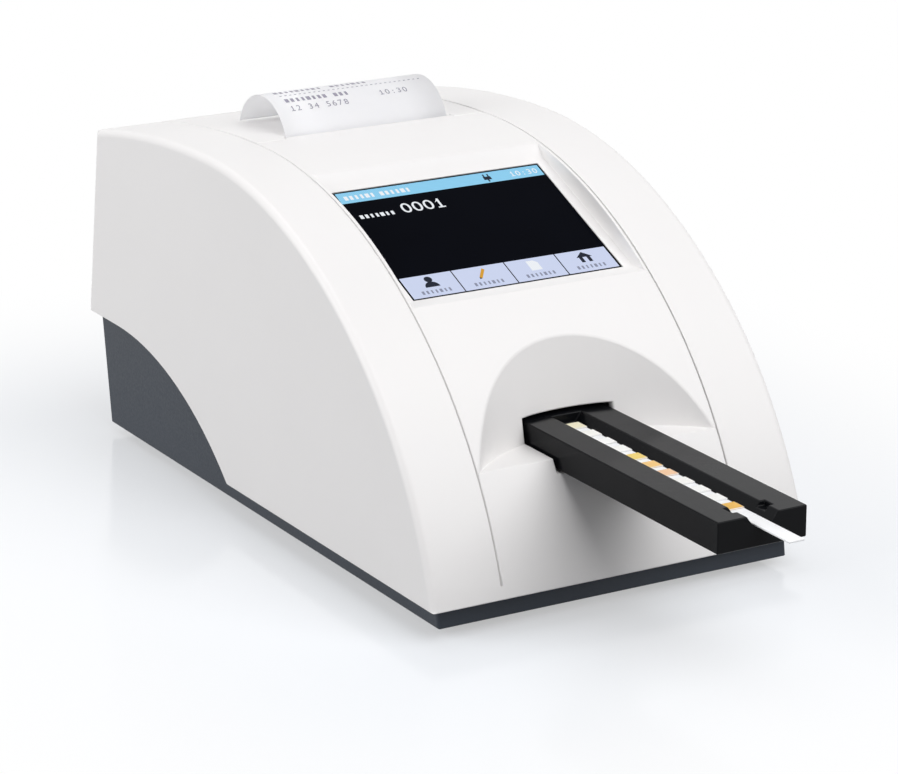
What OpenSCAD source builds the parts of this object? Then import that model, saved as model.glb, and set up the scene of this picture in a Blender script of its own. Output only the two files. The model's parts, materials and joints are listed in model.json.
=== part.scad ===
// Bench-top urine strip analyzer. A white arched cover with a flush touch screen stands on a
// dark base. A thermal printer sits under a hinged lid at the top rear, and a black strip tray
// runs out of an alcove in the front, driven by a rack and pinion.
// Millimetres, +Z up, +X to the right, -Y to the front. The origin is on the table, under the
// middle of the whole object with its tray out.

/* [Housing] */
// Width of the cover at its lower edge
body_w = 127.7; // [122:0.1:140]
// Inward lean of the side walls, in degrees
side_draft = 0.9; // [0:0.1:2]
// Height of the crown of the cover above the table
crown_h = 110.3; // [106:0.1:118]
// Distance of the crown behind the middle of the base
crown_y = 30.5; // [28:0.1:34]
// Radius of the top behind the crown
rear_r = 363; // [320:1:420]
// Radius of the arch ahead of the crown
arch_r = 157.2; // [152:0.1:164]
// Sweep of that arch, in degrees
arch_sweep = 42; // [39:0.5:45]
// Radius of the front below the arch
front_r = 130; // [124:0.5:138]
// Distance of the rear top edge behind the middle of the base
rear_top_y = 105.5; // [103:0.1:112]
// Outward lean of the rear wall towards its foot, in degrees
rear_lean = 6.9; // [4:0.1:9]
// Thickness of the moulded cover
wall = 2.2; // [1.8:0.1:2.8]
// Height of the cover's lower edge above the table
cover_edge_z = 9.8; // [9:0.1:12]
// Radius of the arch cut in the side walls at the rear
cheek_r = 115; // [105:1:130]
// Distance of the top of that arch behind the middle of the base
cheek_y = 93; // [88:0.5:98]
// Height of the top of that arch above the table
cheek_top_z = 40.4; // [36:0.1:44]

/* [Base] */
// Inset of the base from the cover's lower edge at the front and sides
base_inset = 4.3; // [4:0.1:6]
// Inset of the base from the cover's rear wall
base_rear_inset = 2.2; // [2.2:0.1:5]
// Thickness of the base's floor and walls
base_wall = 2.5; // [2:0.1:3.5]
// Height by which the base's wall reaches up behind the cover's edge
base_lap = 4; // [2:0.5:6]
// Gap between that wall and the inside of the cover
lap_gap = 0.3; // [0.2:0.05:0.6]
// Outward lean of the base's sides, in degrees
base_draft = 1; // [0:0.1:1.2]
// Backward lean of the base's front, in degrees
base_front_lean = 10; // [6:0.5:14]
// Outward lean of the base's rear wall, in degrees
base_rear_lean = 6; // [3:0.5:8]
// Height of the rubber feet
foot_h = 3; // [2:0.1:5]
// Diameter of the rubber feet
foot_d = 14; // [10:0.5:18]
// Diameter of the bosses and posts that take the screws
boss_d = 9; // [8:0.5:10]
// Height of the housing bosses above the table
boss_top_z = 18; // [16:0.5:22]

/* [Centre bay] */
// Width of the bay between the two seams
bay_w = 81.6; // [79:0.1:84]
// Width of the seams
seam = 0.5; // [0.3:0.05:0.8]
// Height of the sill under the front panel
sill_z = 13.6; // [12:0.1:16]

/* [Screen] */
// Width of the touch glass
screen_w = 72; // [68:0.1:74]
// Length of the touch glass along the facet
screen_l = 53.6; // [50:0.1:55]
// Thickness of the touch glass
glass_t = 2; // [1:0.1:2.2]
// Distance of the screen's middle behind the middle of the base
facet_y = -28.4; // [-31:0.1:-26]
// Depth of the facet under the arch at the screen's middle
facet_drop = 6.4; // [5:0.1:7]
// Tilt of the facet, in degrees
facet_tilt = 23.1; // [21:0.1:25]
// Width of the facet
facet_w = 79.2; // [76:0.1:79.6]
// Margin of the facet above the screen
facet_margin = 3; // [2:0.1:3.5]
// Margin of the facet below the screen, where it turns up to the ledge
facet_foot = 0.4; // [0.2:0.1:3]
// Distance of the crease above the facet behind the middle of the base
crease_y = 2; // [1:0.1:6]
// Distance of the ledge below the facet behind the middle of the base
ledge_y = -59.5; // [-62:0.1:-58]
// Thickness of the display module
lcd_t = 3.5; // [3:0.1:5]
// Thickness of the sheet bracket behind the display
bracket_t = 1.5; // [1:0.1:2]

/* [Alcove] */
// Radius of the alcove's wall
alcove_r = 54.2; // [50:0.1:56]
// Distance of the alcove's axis behind the middle of the base, at its floor
alcove_y = -135.1; // [-138:0.1:-132]
// Backward lean of the alcove's wall, in degrees
alcove_lean = 12.6; // [8:0.1:16]
// Depth of the alcove's floor under the top of the tray
alcove_floor_drop = 6.1; // [5:0.1:7]

/* [Strip tray] */
// Width of the tray
tray_w = 29.2; // [26:0.1:31]
// Thickness of the tray
tray_t = 9.2; // [9:0.1:10]
// Length of the tray
tray_l = 134; // [130:1:138]
// Height of the top of the tray above the table
tray_top_z = 49.1; // [47:0.1:52]
// Distance of the tray's front end behind the middle of the base, tray out
tray_front_y = -179.3; // [-182:0.1:-176]
// Travel of the tray
tray_travel = 100; // [80:1:102]
// Width of the strip channel at the top of the tray
channel_w = 10.3; // [8:0.1:12]
// Depth of the strip channel
channel_d = 3.1; // [2.5:0.1:3.4]
// Room in the channel behind the strip's inner end
channel_end_gap = 1.9; // [0.5:0.1:6]
// Clearance beside the strip on the channel's floor
strip_gap = 0.4; // [0.2:0.1:0.8]
// Distance of the thumb notch from the tray's front
notch_in = 5; // [3:0.5:10]
// Length of the thumb notch
notch_l = 4; // [3:0.5:10]
// Extra width of the thumb notch on each side
notch_w = 1.6; // [0.5:0.1:3]
// Running clearance between tray and guides
tray_gap = 0.3; // [0.2:0.05:0.5]
// Clearance of the body's opening beside the tray
port_side = 0.8; // [0.5:0.1:1.2]
// Clearance of the body's opening above the tray
port_top = 1.1; // [0.6:0.1:1.6]
// Clearance of the body's opening below the tray
port_bottom = 0.7; // [0.4:0.1:1]

/* [Test strip] */
// Width of the strip and of its pads
strip_w = 5; // [4.5:0.1:6]
// Length of the strip
strip_l = 113.6; // [108:0.1:118]
// Thickness of the strip
strip_t = 0.5; // [0.3:0.05:0.7]
// Length of strip that stands out of the tray
strip_out = 15.8; // [10:0.1:20]
// Number of reagent pads
pad_count = 11; // [8:1:12]
// Distance between the pads
pad_pitch = 8; // [6:0.1:8.4]
// Thickness of the pads
pad_t = 0.4; // [0.3:0.1:1]
// Distance of the first pad's middle from the strip's inner end
pad_start = 3; // [3:0.1:8]

/* [Tray drive] */
// Module of the rack and pinion
rack_module = 0.8; // [0.7:0.1:0.9]
// Teeth of the pinion
pinion_teeth = 18; // [18:1:20]
// Width of the rack
rack_w = 6; // [4:0.5:8]
// Distance of the pinion behind the middle of the base
pinion_y = -52; // [-54:0.5:-51]
// Diameter of the tray motor
tray_motor_d = 15; // [12:0.5:16]
// Length of the tray motor
tray_motor_l = 14; // [12:0.5:18]
// Diameter of the motor shafts
shaft_d = 3; // [2:0.1:3.4]
// Radial running clearance of shafts and pins
run_gap = 0.05; // [0.02:0.01:0.1]
// Play at the pitch line of meshed teeth
backlash = 0.24; // [0.15:0.01:0.3]

/* [Printer] */
// Width of the paper
paper_w = 57.5; // [56:0.1:58]
// Thickness of the modelled paper
paper_t = 0.2; // [0.15:0.05:0.3]
// Diameter of the paper roll
roll_d = 40; // [34:0.5:41]
// Outside diameter of the roll's card core
core_d = 16; // [14:0.5:18]
// Diameter of the spindle in the core
spindle_d = 12; // [10:0.5:12.5]
// Distance of the paper roll's axis behind the middle of the base
roll_y = 73.6; // [73:0.1:75]
// Depth of the paper roll's axis under the crown
roll_drop = 29.8; // [28:0.1:32]
// Radius of the curl of the printed paper
curl_r = 17; // [16:0.1:18]
// Distance of the curl's axis behind the middle of the base
curl_y = 55; // [54.5:0.1:55.5]
// Depth of the curl's axis under the crown
curl_drop = 7.4; // [7:0.1:8]
// Thickness of the printer lid
lid_t = 2.2; // [1.8:0.1:2.6]
// Radius of the lid's hinge barrel
barrel_r = 3.6; // [3.2:0.1:4]
// Diameter of the lid's hinge pin
hinge_pin_d = 2.5; // [2:0.1:3]
// Diameter of the platen roller
platen_d = 8; // [7:0.1:8.4]
// Depth of the platen roller's axis under the crown
platen_drop = 10.3; // [10:0.1:11]
// Module of the printer gears
print_module = 0.5; // [0.4:0.1:0.5]
// Teeth of the platen gear
platen_teeth = 24; // [22:1:24]
// Teeth of the printer motor's gear
drive_teeth = 20; // [18:1:20]
// Face width of the printer gears
gear_w = 3; // [2:0.1:3.5]
// Diameter of the printer motor
print_motor_d = 15; // [12:0.5:15.5]
// Length of the printer motor
print_motor_l = 13; // [10:0.5:14]
// Thickness of the printer frame's plates
frame_t = 2; // [1.5:0.1:2.5]
// Thickness of the print head's ceramic strip
head_t = 1.5; // [1:0.1:2]
// Thickness of the print head's heat sink
sink_t = 4; // [3:0.1:5]

/* [Electronics] */
// Width of the main board
board_w = 84; // [70:0.5:86]
// Length of the main board
board_l = 130; // [110:1:132]
// Thickness of the circuit boards
board_t = 1.6; // [1.2:0.1:2]
// Height of the main board above the base's floor
board_gap = 6.5; // [5:0.5:8]
// Length of the optical head
head_l = 32; // [28:0.5:36]
// Height of the optical head
head_h = 18; // [14:0.5:19]
// Thickness of the flat ribbon cables
ribbon_t = 0.4; // [0.3:0.05:0.6]
// Width of the flat ribbon cables
ribbon_w = 12; // [8:0.5:12]

/* [Screws] */
// Diameter of the housing screws
screw_d = 3; // [2.6:0.1:3.2]
// Diameter of the small screws
small_screw_d = 2; // [1.8:0.1:2.2]
// Clearance round the screws, on the diameter
screw_gap = 0.2; // [0.1:0.05:0.3]

/* [Hidden] */

$fn = 48;
big_fn = 240;
far = 400;
eps = 0.01;
pressure_angle = 20;

// Centres of the front arc and of the arch
arch_c = [crown_y, crown_h - arch_r];
front_c = arch_c + (arch_r - front_r) * [-sin(arch_sweep), cos(arch_sweep)];
joint_y = crown_y - arch_r * sin(arch_sweep);

// Height of the cover's outside at a given y, its front at a given z, its rear wall and its sides
function cap(r, y, cy) = sqrt(r * r - (y - cy) * (y - cy));
function top_z(y) = y > crown_y ? crown_h - rear_r + cap(rear_r, y, crown_y)
    : y > joint_y ? arch_c[1] + cap(arch_r, y, crown_y) : front_c[1] + cap(front_r, y, front_c[0]);
function front_y(z) = front_c[0] - cap(front_r, z, front_c[1]);
function rear_y(z) = rear_top_y + (top_z(rear_top_y) - z) * tan(rear_lean);
function half_w(z) = body_w / 2 - (z - cover_edge_z) * tan(side_draft);

// Outside of the base at a given height
function base_half(z) = body_w / 2 - base_inset + (z - foot_h) * tan(base_draft);
function base_front(z) = front_y(cover_edge_z) + base_inset + (z - foot_h) * tan(base_front_lean);
function base_rear(z) = rear_y(cheek_top_z) - base_rear_inset - (cheek_top_z - z) * tan(base_rear_lean);

// Middle of the whole object along Y, with the tray out
strip_end_y = tray_front_y - strip_out;
mid_y = (strip_end_y + rear_y(cheek_top_z)) / 2;

floor_z = foot_h + base_wall;
facet_z = top_z(facet_y) - facet_drop;
facet_half_l = screen_l / 2 + facet_margin;
// Display: its bosses' diameter and place along the facet, backs of the module and of the bracket,
// and the screws' bite
display_boss_d = 6;
display_boss_v = facet_half_l + 4;
display_boss_u = screen_w / 3;
lcd_back = -wall - lcd_t;
bracket_back = lcd_back - bracket_t;
display_bite = 4;
boss_skin = 1.2;
glass_gap = 0.1;
lcd_margin = [2, 2.2];
bay_half = (bay_w - seam) / 2;
bay_cut_half = (bay_w + seam) / 2;

// Fixing points
post_in = 12.8;
post_x = body_w / 2 - post_in;
post_front_y = -80;
post_rear_y = 80;
leg_in = 13.8;
leg_x = body_w / 2 - leg_in;
leg_front_y = -68;
leg_seat_z = floor_z + 4;
head_seat_z = foot_h + 5;
screw_head_h = 0.6 * screw_d;
screw_head_d = 1.9 * screw_d;
small_head_h = 0.6 * small_screw_d;
small_head_d = 1.9 * small_screw_d;
screw_bite = 8;

// Tray and its port
tray_bottom_z = tray_top_z - tray_t;
tray_rear_y = tray_front_y + tray_l;
channel_floor_z = tray_top_z - channel_d;
strip_inner_y = strip_end_y + strip_l;
channel_end_y = strip_inner_y + channel_end_gap;
alcove_floor_z = tray_top_z - alcove_floor_drop;
port_half = tray_w / 2 + port_side;
port_floor_z = tray_bottom_z - port_bottom;
port_top_z = tray_top_z + port_top;

// Tray chassis
chassis_t = 2.5;
chassis_w = 48;
chassis_top_z = tray_bottom_z - tray_gap;
chassis_front_y = leg_front_y - boss_d / 2;
chassis_spare = 7;
chassis_rear_y = tray_rear_y + tray_travel + chassis_spare;
leg_rear_in = 16.7;
leg_rear_y = chassis_rear_y - leg_rear_in;
port_rear_y = chassis_front_y + 2.5;
port_liner_y = port_rear_y - 8;
guide_t = 2.5;
guide_half = tray_w / 2 + tray_gap;
guide_lip = 2;
guide_lip_t = 1.6;
guide_top_z = tray_top_z + tray_gap + guide_lip_t;
motor_face_x = guide_half + guide_t + 2;

// Rack and pinion
rack_pitch = PI * rack_module;
rack_recess = 0.5;
rack_fit = 0.1;
rack_end_gap = 0.5;
rack_spare = 12;
rack_tip_z = tray_bottom_z + rack_recess;
rack_line_z = rack_tip_z + rack_module;
rack_root_z = rack_line_z + 1.25 * rack_module;
rack_back_z = rack_root_z + 1;
pinion_r = rack_module * pinion_teeth / 2;
pinion_z = rack_line_z - pinion_r;
rack_rear_y = tray_rear_y - rack_end_gap;
rack_teeth = floor((tray_travel + rack_spare) / rack_pitch);
rack_front_y = rack_rear_y - rack_teeth * rack_pitch;

// Printer
curl_z = crown_h - curl_drop;
platen_z = crown_h - platen_drop;
paper_gap = 0.3;
platen_y = curl_y - cap(curl_r - paper_t / 2 - paper_gap, platen_z, curl_z) + platen_d / 2;
lid_edge_r = curl_r - 0.5;
slot_notch_r = curl_r + 1.2;
slot_half = paper_w / 2 + 1;
curl_end = 20;
hinge_z = top_z(rear_top_y - barrel_r) - barrel_r;
hinge_y = rear_y(hinge_z) - barrel_r;
hinge_gap = 0.4;
// Reach of the platen gear's teeth round the hinge, and the edge that the lid's two arms keep to
gear_reach = norm([hinge_y - platen_y, hinge_z - platen_z]) + print_module * (platen_teeth / 2 + 1);
gear_clear = 0.3;
lid_arm_r = gear_reach + gear_clear;
swing_gap = 0.4;
ear_t = 2.5;
hinge_reach = bay_cut_half + ear_t;
ear_x = paper_w / 2 + 1.5;
frame_half = ear_x;
gear_x = frame_half + frame_t + 2;
gear_play = 0.05;
gear_spacing = print_module * (platen_teeth + drive_teeth) / 2 + gear_play;
drive_z = platen_z - gear_spacing;
motor_plate_x = gear_x + gear_w + 1;
roll_z = crown_h - roll_drop;
roll_gap = 0.5;
frame_floor_z = roll_z - roll_d / 2 - roll_gap - frame_t;
frame_top_z = drive_z + 3;
frame_front_y = curl_y - curl_r - paper_t / 2 - paper_gap - head_t - sink_t - frame_t;
frame_rear_y = roll_y + roll_d / 2 + 2 * roll_gap + frame_t;
bucket_ear_z = drive_z + 5;
bucket_ear_t = 3;
bucket_boss_in = 16.8;
bucket_boss_x = body_w / 2 - bucket_boss_in;
bucket_boss_y = [56, 69];
// Reach of the heat sink and of the ceramic strip below and above the platen's axis
sink_low = 10;
sink_high = 4;
strip_low = 5;
strip_high = 3;

// Main board and connectors
board_z = floor_z + board_gap;
board_rear_gap = 1.2;
board_rear_y = base_rear(board_z) - base_wall - board_rear_gap;
board_top_z = board_z + board_t;
standoff_d = 6;
standoff_in = 5;
standoff_front_in = 6;
standoff_rear_in = 22;
standoff_x = board_w / 2 - standoff_in;
standoff_y = [board_rear_y - board_l + standoff_front_in, board_rear_y - standoff_rear_in];
board_bite = 4;
port_recess = 0.6;
port_y = base_rear(board_top_z) - port_recess;
port_gap = 0.3;
// Width, length and height of the sockets, of the serial socket's shell and of the switch
jack_size = [9, 13, 11];
usb_size = [12, 16, 11];
serial_size = [30, 7, 12];
shell_size = [18, 8, 8.4];
switch_size = [12.8, 16, 20];
jack_x = -30;
usb_x = -10;
serial_x = 21;
switch_in = 15.85;
switch_x = switch_in - body_w / 2;
switch_z = 25;
rocker_tilt = 8;
rocker_pivot_y = -2;
rocker_pin_d = 2;

// Sockets of the two ribbon cables on the main board, display and printer: their height, and their
// distances from the board's front and rear edge. The cables stand up from them before they bend
ribbon_seat = 2.5;
display_socket_in = 12;
printer_socket_in = 70;
ribbon_sockets = [[33.5, board_rear_y - board_l + display_socket_in],
    [-32, board_rear_y - printer_socket_in]];
ribbon_rise = 12;

// Upright capacitors on the main board, and their distance from its rear edge
capacitor_d = 8;
capacitor_h = 10;
capacitor_in = 32;

// Optical head
head_rear_y = -8;
head_front_y = head_rear_y - head_l;
head_wall = 2;
head_half = guide_half + guide_t;
window_half = 8;
window_t = 1.2;
window_in = 6;
window_fit = 0.1;
window_ledge = 1.5;

module placed() {
    translate([0, -mid_y, 0]) children();
}

// Extrudes a drawing of Y and Z sideways, centred on X
module along_x(w) {
    rotate([90, 0, 90]) translate([0, 0, -w / 2]) linear_extrude(w) children();
}

// Extrudes a drawing of X and Z from y0 to y1
module along_y(y0, y1) {
    translate([0, y1, 0]) rotate([90, 0, 0]) linear_extrude(y1 - y0) children();
}

module x_rod(d, x0, x1, y, z) {
    translate([x0, y, z]) rotate([0, 90, 0]) cylinder(d = d, h = x1 - x0);
}

module block(low, high) {
    translate(low) cube(high - low);
}

module both_sides(x) {
    for (side = [-1, 1]) translate([side * x, 0, 0]) children();
}

module mirrored() {
    children();
    mirror([1, 0, 0]) children();
}

// Pan-head screw standing on its head's underside, shank up
module screw(d, length, head_d, head_h) {
    translate([0, 0, -head_h]) cylinder(d = head_d, h = head_h);
    translate([0, 0, -eps]) cylinder(d = d, h = length + eps);
}

// Local frame of the screen facet: x across, y up the facet, z out of it
module on_facet() {
    translate([0, facet_y, facet_z]) rotate([facet_tilt, 0, 0]) children();
}

// Local frame on the base's rear wall: x across, y out of the wall, z up it
module on_rear(x, z) {
    translate([x, base_rear(z), z]) rotate([-base_rear_lean, 0, 0]) children();
}

function facet_point(v, n) = [facet_y + v * cos(facet_tilt) - n * sin(facet_tilt),
    facet_z + v * sin(facet_tilt) + n * cos(facet_tilt)];

// Point on the line from p through q, half as far again
function beyond(p, q) = q + (q - p) / 2;

// Side view of the cover: three arcs that run into each other, and the leaning rear wall
module arch_region(inset) {
    joint_line = far * [-sin(arch_sweep), cos(arch_sweep)];
    joint_back = 2 * far * [cos(arch_sweep), sin(arch_sweep)];
    rear_inset = inset / cos(rear_lean);
    intersection() {
        translate([crown_y, crown_h - rear_r]) circle(rear_r - inset, $fn = big_fn);
        union() {
            translate(arch_c) circle(arch_r - inset, $fn = big_fn);
            translate([crown_y, -far]) square([far, 2 * far]);
        }
        union() {
            translate(front_c) circle(front_r - inset, $fn = big_fn);
            translate(arch_c) polygon([joint_line, -joint_line,
                joint_back - joint_line, joint_back + joint_line]);
        }
        polygon([[-far, -far], [rear_y(-far) - rear_inset, -far],
            [rear_y(far) - rear_inset, far], [-far, far]]);
    }
}

// The cover's solid, drawn in by inset all round and open downwards
module body_solid(inset) {
    intersection() {
        along_x(2 * body_w) arch_region(inset);
        along_y(-far, far) polygon([[-half_w(0) + inset, 0], [half_w(0) - inset, 0],
            [half_w(far) - inset, far], [-half_w(far) + inset, far]]);
    }
}

// What lies under the cover's lower edge and under the side arches, reaching up behind them by lap
module below_cover(lap) {
    along_x(2 * body_w) {
        translate([-far, -far]) square([2 * far, far + cover_edge_z + lap]);
        translate([cheek_y, cheek_top_z - cheek_r]) circle(cheek_r + lap, $fn = big_fn);
        translate([cheek_y, -far]) square([far, far + cheek_top_z + lap]);
    }
}

module bay_opening() {
    block([-bay_cut_half, -far, sill_z], [bay_cut_half, curl_y, far]);
    block([-bay_cut_half, curl_y - 1, hinge_z - barrel_r - hinge_gap], [bay_cut_half, far, far]);
}

module top_cover() {
    post_l = crown_h - boss_top_z;
    color("whitesmoke") difference() {
        union() {
            difference() {
                body_solid(0);
                body_solid(wall);
                below_cover(0);
                bay_opening();
            }
            intersection() {
                body_solid(wall / 2);
                union() {
                    fixing_points(post_front_y, post_rear_y, post_x)
                        translate([0, 0, boss_top_z]) cylinder(d = boss_d - 1, h = post_l);
                    fixing_points(bucket_boss_y[0], bucket_boss_y[1], bucket_boss_x)
                        translate([0, 0, bucket_ear_z]) cylinder(d = boss_d - 2, h = post_l);
                    mirrored() block([bay_cut_half, hinge_y - 2 * barrel_r, hinge_z - barrel_r],
                        [hinge_reach, hinge_y + 2 * barrel_r, crown_h]);
                }
            }
        }
        fixing_points(post_front_y, post_rear_y, post_x)
            translate([0, 0, boss_top_z - eps]) cylinder(d = screw_d + screw_gap, h = screw_bite + 2);
        fixing_points(bucket_boss_y[0], bucket_boss_y[1], bucket_boss_x)
            translate([0, 0, bucket_ear_z - eps]) cylinder(d = small_screw_d + screw_gap, h = screw_bite);
        x_rod(hinge_pin_d, -hinge_reach - 1, hinge_reach + 1, hinge_y, hinge_z);
    }
}

// Side view of the recess that the screen's facet is sunk in, lowered by drop
module facet_recess(drop) {
    upper = facet_point(facet_half_l + drop, -drop);
    lower = facet_point(-screen_l / 2 - facet_foot - drop, -drop);
    crease = beyond(upper, [crease_y + drop, top_z(crease_y)]);
    ledge = beyond(lower, [ledge_y - drop, top_z(ledge_y) - drop]);
    polygon([[crease[0], far], crease, upper, lower, ledge, [ledge[0], far]]);
}

// The leaning cylinder of the alcove above its floor, grown by grow
module alcove_solid(grow) {
    intersection() {
        translate([0, alcove_y, alcove_floor_z]) rotate([-alcove_lean, 0, 0])
            translate([0, 0, -far / 2]) cylinder(r = alcove_r + grow, h = far, $fn = big_fn);
        block([-far, -far, alcove_floor_z - grow], [far, far, crown_h]);
    }
}

module display_bosses(d, low, high) {
    on_facet() both_sides(display_boss_u) for (v = [-1, 1])
        translate([0, v * display_boss_v, low]) cylinder(d = d, h = high - low);
}

// Side view of the panel's outside, from the paper slot down to the sill
module panel_outline() {
    difference() {
        arch_region(0);
        translate([-far, -far]) square([2 * far, far + sill_z]);
        translate([curl_y, -far]) square([far, 2 * far]);
        curl_disc(slot_notch_r);
    }
}

// Disc round the axis of the paper's curl, in side view
module curl_disc(r) {
    translate([curl_y, curl_z]) circle(r, $fn = 144);
}

// The room behind the panel, which its facet, alcove, tray port and bosses stand into
module panel_inside() {
    difference() {
        along_x(2 * bay_w) arch_region(wall);
        along_x(3 * bay_w) facet_recess(wall);
        alcove_solid(wall);
        block([-port_half - wall, -far, port_floor_z - wall],
            [port_half + wall, port_liner_y, alcove_floor_z]);
        display_bosses(display_boss_d, lcd_back, 0);
    }
}

module front_panel() {
    window = [screen_w + 2 * glass_gap, screen_l + 2 * glass_gap];
    color("whitesmoke") difference() {
        along_x(2 * bay_half) panel_outline();
        panel_inside();
        along_x(facet_w) facet_recess(0);
        alcove_solid(0);
        block([-port_half, -far, port_floor_z], [port_half, port_rear_y, port_top_z]);
        on_facet() translate([-window[0] / 2, -window[1] / 2, -2 * wall])
            cube([window[0], window[1], 4 * wall]);
        display_bosses(small_screw_d + screw_gap, lcd_back - 1, -boss_skin);
        mirrored() x_rod(2 * (lid_arm_r + swing_gap), slot_half, bay_w, hinge_y, hinge_z);
    }
}

module base_solid(inset, low) {
    top = cheek_top_z + base_lap + 1;
    intersection() {
        along_x(2 * body_w) polygon([[base_front(low) + inset, low], [base_rear(low) - inset, low],
            [base_rear(top) - inset, top], [base_front(top) + inset, top]]);
        along_y(-far, far) polygon([[-base_half(low) + inset, low], [base_half(low) - inset, low],
            [base_half(top) - inset, top], [-base_half(top) + inset, top]]);
    }
}

// Everything that the base's wall may fill: behind the cover's edge and up its side arches
module base_limit() {
    below_cover(0);
    intersection() {
        below_cover(base_lap);
        body_solid(wall + lap_gap);
    }
}

module fixing_points(front_y, rear_y, x) {
    both_sides(x) for (y = [front_y, rear_y]) translate([0, y, 0]) children();
}

module base_tub() {
    color("#3e4651") difference() {
        union() {
            intersection() {
                difference() {
                    base_solid(0, foot_h);
                    base_solid(base_wall, floor_z);
                }
                base_limit();
            }
            fixing_points(post_front_y, post_rear_y, post_x)
                translate([0, 0, foot_h + eps]) cylinder(d = boss_d, h = boss_top_z - foot_h - eps);
            fixing_points(leg_front_y, leg_rear_y, leg_x)
                translate([0, 0, foot_h + eps]) cylinder(d = boss_d, h = leg_seat_z - foot_h - eps);
            fixing_points(standoff_y[0], standoff_y[1], standoff_x)
                translate([0, 0, foot_h + eps]) cylinder(d = standoff_d, h = board_z - foot_h - eps);
        }
        fixing_points(post_front_y, post_rear_y, post_x) screw_well(boss_top_z);
        fixing_points(leg_front_y, leg_rear_y, leg_x) screw_well(leg_seat_z);
        fixing_points(standoff_y[0], standoff_y[1], standoff_x)
            translate([0, 0, floor_z]) cylinder(d = small_screw_d + screw_gap, h = board_gap + 1);
        rear_cutouts();
    }
}

// Countersunk way for a screw that comes up through the base
module screw_well(top) {
    translate([0, 0, -1]) cylinder(d = screw_head_d + 0.6, h = head_seat_z + 1);
    cylinder(d = screw_d + screw_gap, h = top + 1);
}

module rear_cutouts() {
    for (port = [[jack_x, jack_size], [usb_x, usb_size], [serial_x, shell_size]]) {
        half = port[1][0] / 2 + port_gap;
        block([port[0] - half, port_y - 6, board_top_z - port_gap],
            [port[0] + half, far, board_top_z + port[1][2] + port_gap]);
    }
    on_rear(switch_x, switch_z)
        block([-switch_size[0] / 2 - port_gap, -far / 8, -switch_size[2] / 2 - port_gap],
            [switch_size[0] / 2 + port_gap, far / 8, switch_size[2] / 2 + port_gap]);
}

module rubber_feet() {
    x = base_half(foot_h) - foot_d;
    color("#202225") fixing_points(base_front(foot_h) + foot_d, base_rear(foot_h) - foot_d, x) {
        cylinder(d1 = foot_d - 1, d2 = foot_d, h = foot_h / 3);
        translate([0, 0, foot_h / 3 - eps]) cylinder(d = foot_d, h = foot_h * 2 / 3 + eps);
    }
}

module housing_screws() {
    length = boss_top_z - head_seat_z + screw_bite;
    color("silver") fixing_points(post_front_y, post_rear_y, post_x)
        translate([0, 0, head_seat_z]) screw(screw_d, length, screw_head_d, screw_head_h);
}

module chassis_screws() {
    length = leg_seat_z - head_seat_z + screw_bite;
    color("silver") fixing_points(leg_front_y, leg_rear_y, leg_x)
        translate([0, 0, head_seat_z]) screw(screw_d, length, screw_head_d, screw_head_h);
}

// Side view of the lid: the cover's skin from its front arms back to the hinge barrel
module lid_skin() {
    difference() {
        intersection() {
            arch_region(0);
            translate([hinge_y, hinge_z]) circle(lid_arm_r, $fn = big_fn);
        }
        arch_region(lid_t);
        translate([hinge_y, -far]) square([far, 2 * far]);
        translate([-far, -far]) square([2 * far, far + hinge_z - barrel_r]);
        translate([curl_y - far, -far]) square([far, far + curl_z]);
    }
}

// Side view of the room between the lid's arms, ahead of the edge that the paper runs over
module ahead_of_lid() {
    difference() {
        translate([curl_y - far, curl_z]) square([far, far]);
        curl_disc(lid_edge_r);
        translate([curl_y - lid_edge_r / 2, curl_z]) square([lid_edge_r, 2 * lid_edge_r]);
    }
}

module printer_lid() {
    ear_low = platen_z - shaft_d;
    color("whitesmoke") difference() {
        union() {
            along_x(2 * bay_half) lid_skin();
            x_rod(2 * barrel_r, -bay_half, bay_half, hinge_y, hinge_z);
            intersection() {
                along_x(2 * bay_w) arch_region(lid_t / 2);
                mirrored() block([ear_x, platen_y - shaft_d, ear_low],
                    [ear_x + ear_t, platen_y + 2.5 * shaft_d, crown_h]);
            }
        }
        along_x(2 * (slot_half + swing_gap)) ahead_of_lid();
        x_rod(hinge_pin_d + 2 * run_gap, -bay_w, bay_w, hinge_y, hinge_z);
        x_rod(shaft_d + 2 * run_gap, -bay_w / 2, bay_w / 2, platen_y, platen_z);
    }
}

module lid_hinge_pin() {
    color("silver") x_rod(hinge_pin_d, -hinge_reach, hinge_reach, hinge_y, hinge_z);
}

module platen_roller() {
    color("#2b2b2d") difference() {
        x_rod(platen_d, -paper_w / 2 - 0.3, paper_w / 2 + 0.3, platen_y, platen_z);
        x_rod(shaft_d, -paper_w, paper_w, platen_y, platen_z);
    }
}

module platen_shaft() {
    color("silver") x_rod(shaft_d, -ear_x - ear_t - 1, gear_x + gear_w, platen_y, platen_z);
}

// Outline of an involute spur gear with a tooth on the +Y axis of the drawing
function involute(a) = tan(a) * 180 / PI - a;
function polar(r, a) = [r * sin(a), r * cos(a)];
function gear_outline(teeth, mod) =
    let (rp = teeth * mod / 2, rb = rp * cos(pressure_angle), ra = rp + mod, rr = rp - 1.25 * mod,
        half = 90 / teeth - backlash / 4 / rp * 180 / PI, steps = 5)
    [for (k = [0 : teeth - 1])
        let (mid = k * 360 / teeth,
            flank = [for (i = [0 : steps]) let (r = rb + (ra - rb) * i / steps)
                [r, half + involute(pressure_angle) - involute(acos(rb / r))]])
        each concat([polar(rr, mid - flank[0][1])],
            [for (p = flank) polar(p[0], mid - p[1])],
            [for (i = [steps : -1 : 0]) polar(flank[i][0], mid + flank[i][1])],
            [polar(rr, mid + flank[0][1])])];

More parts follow.
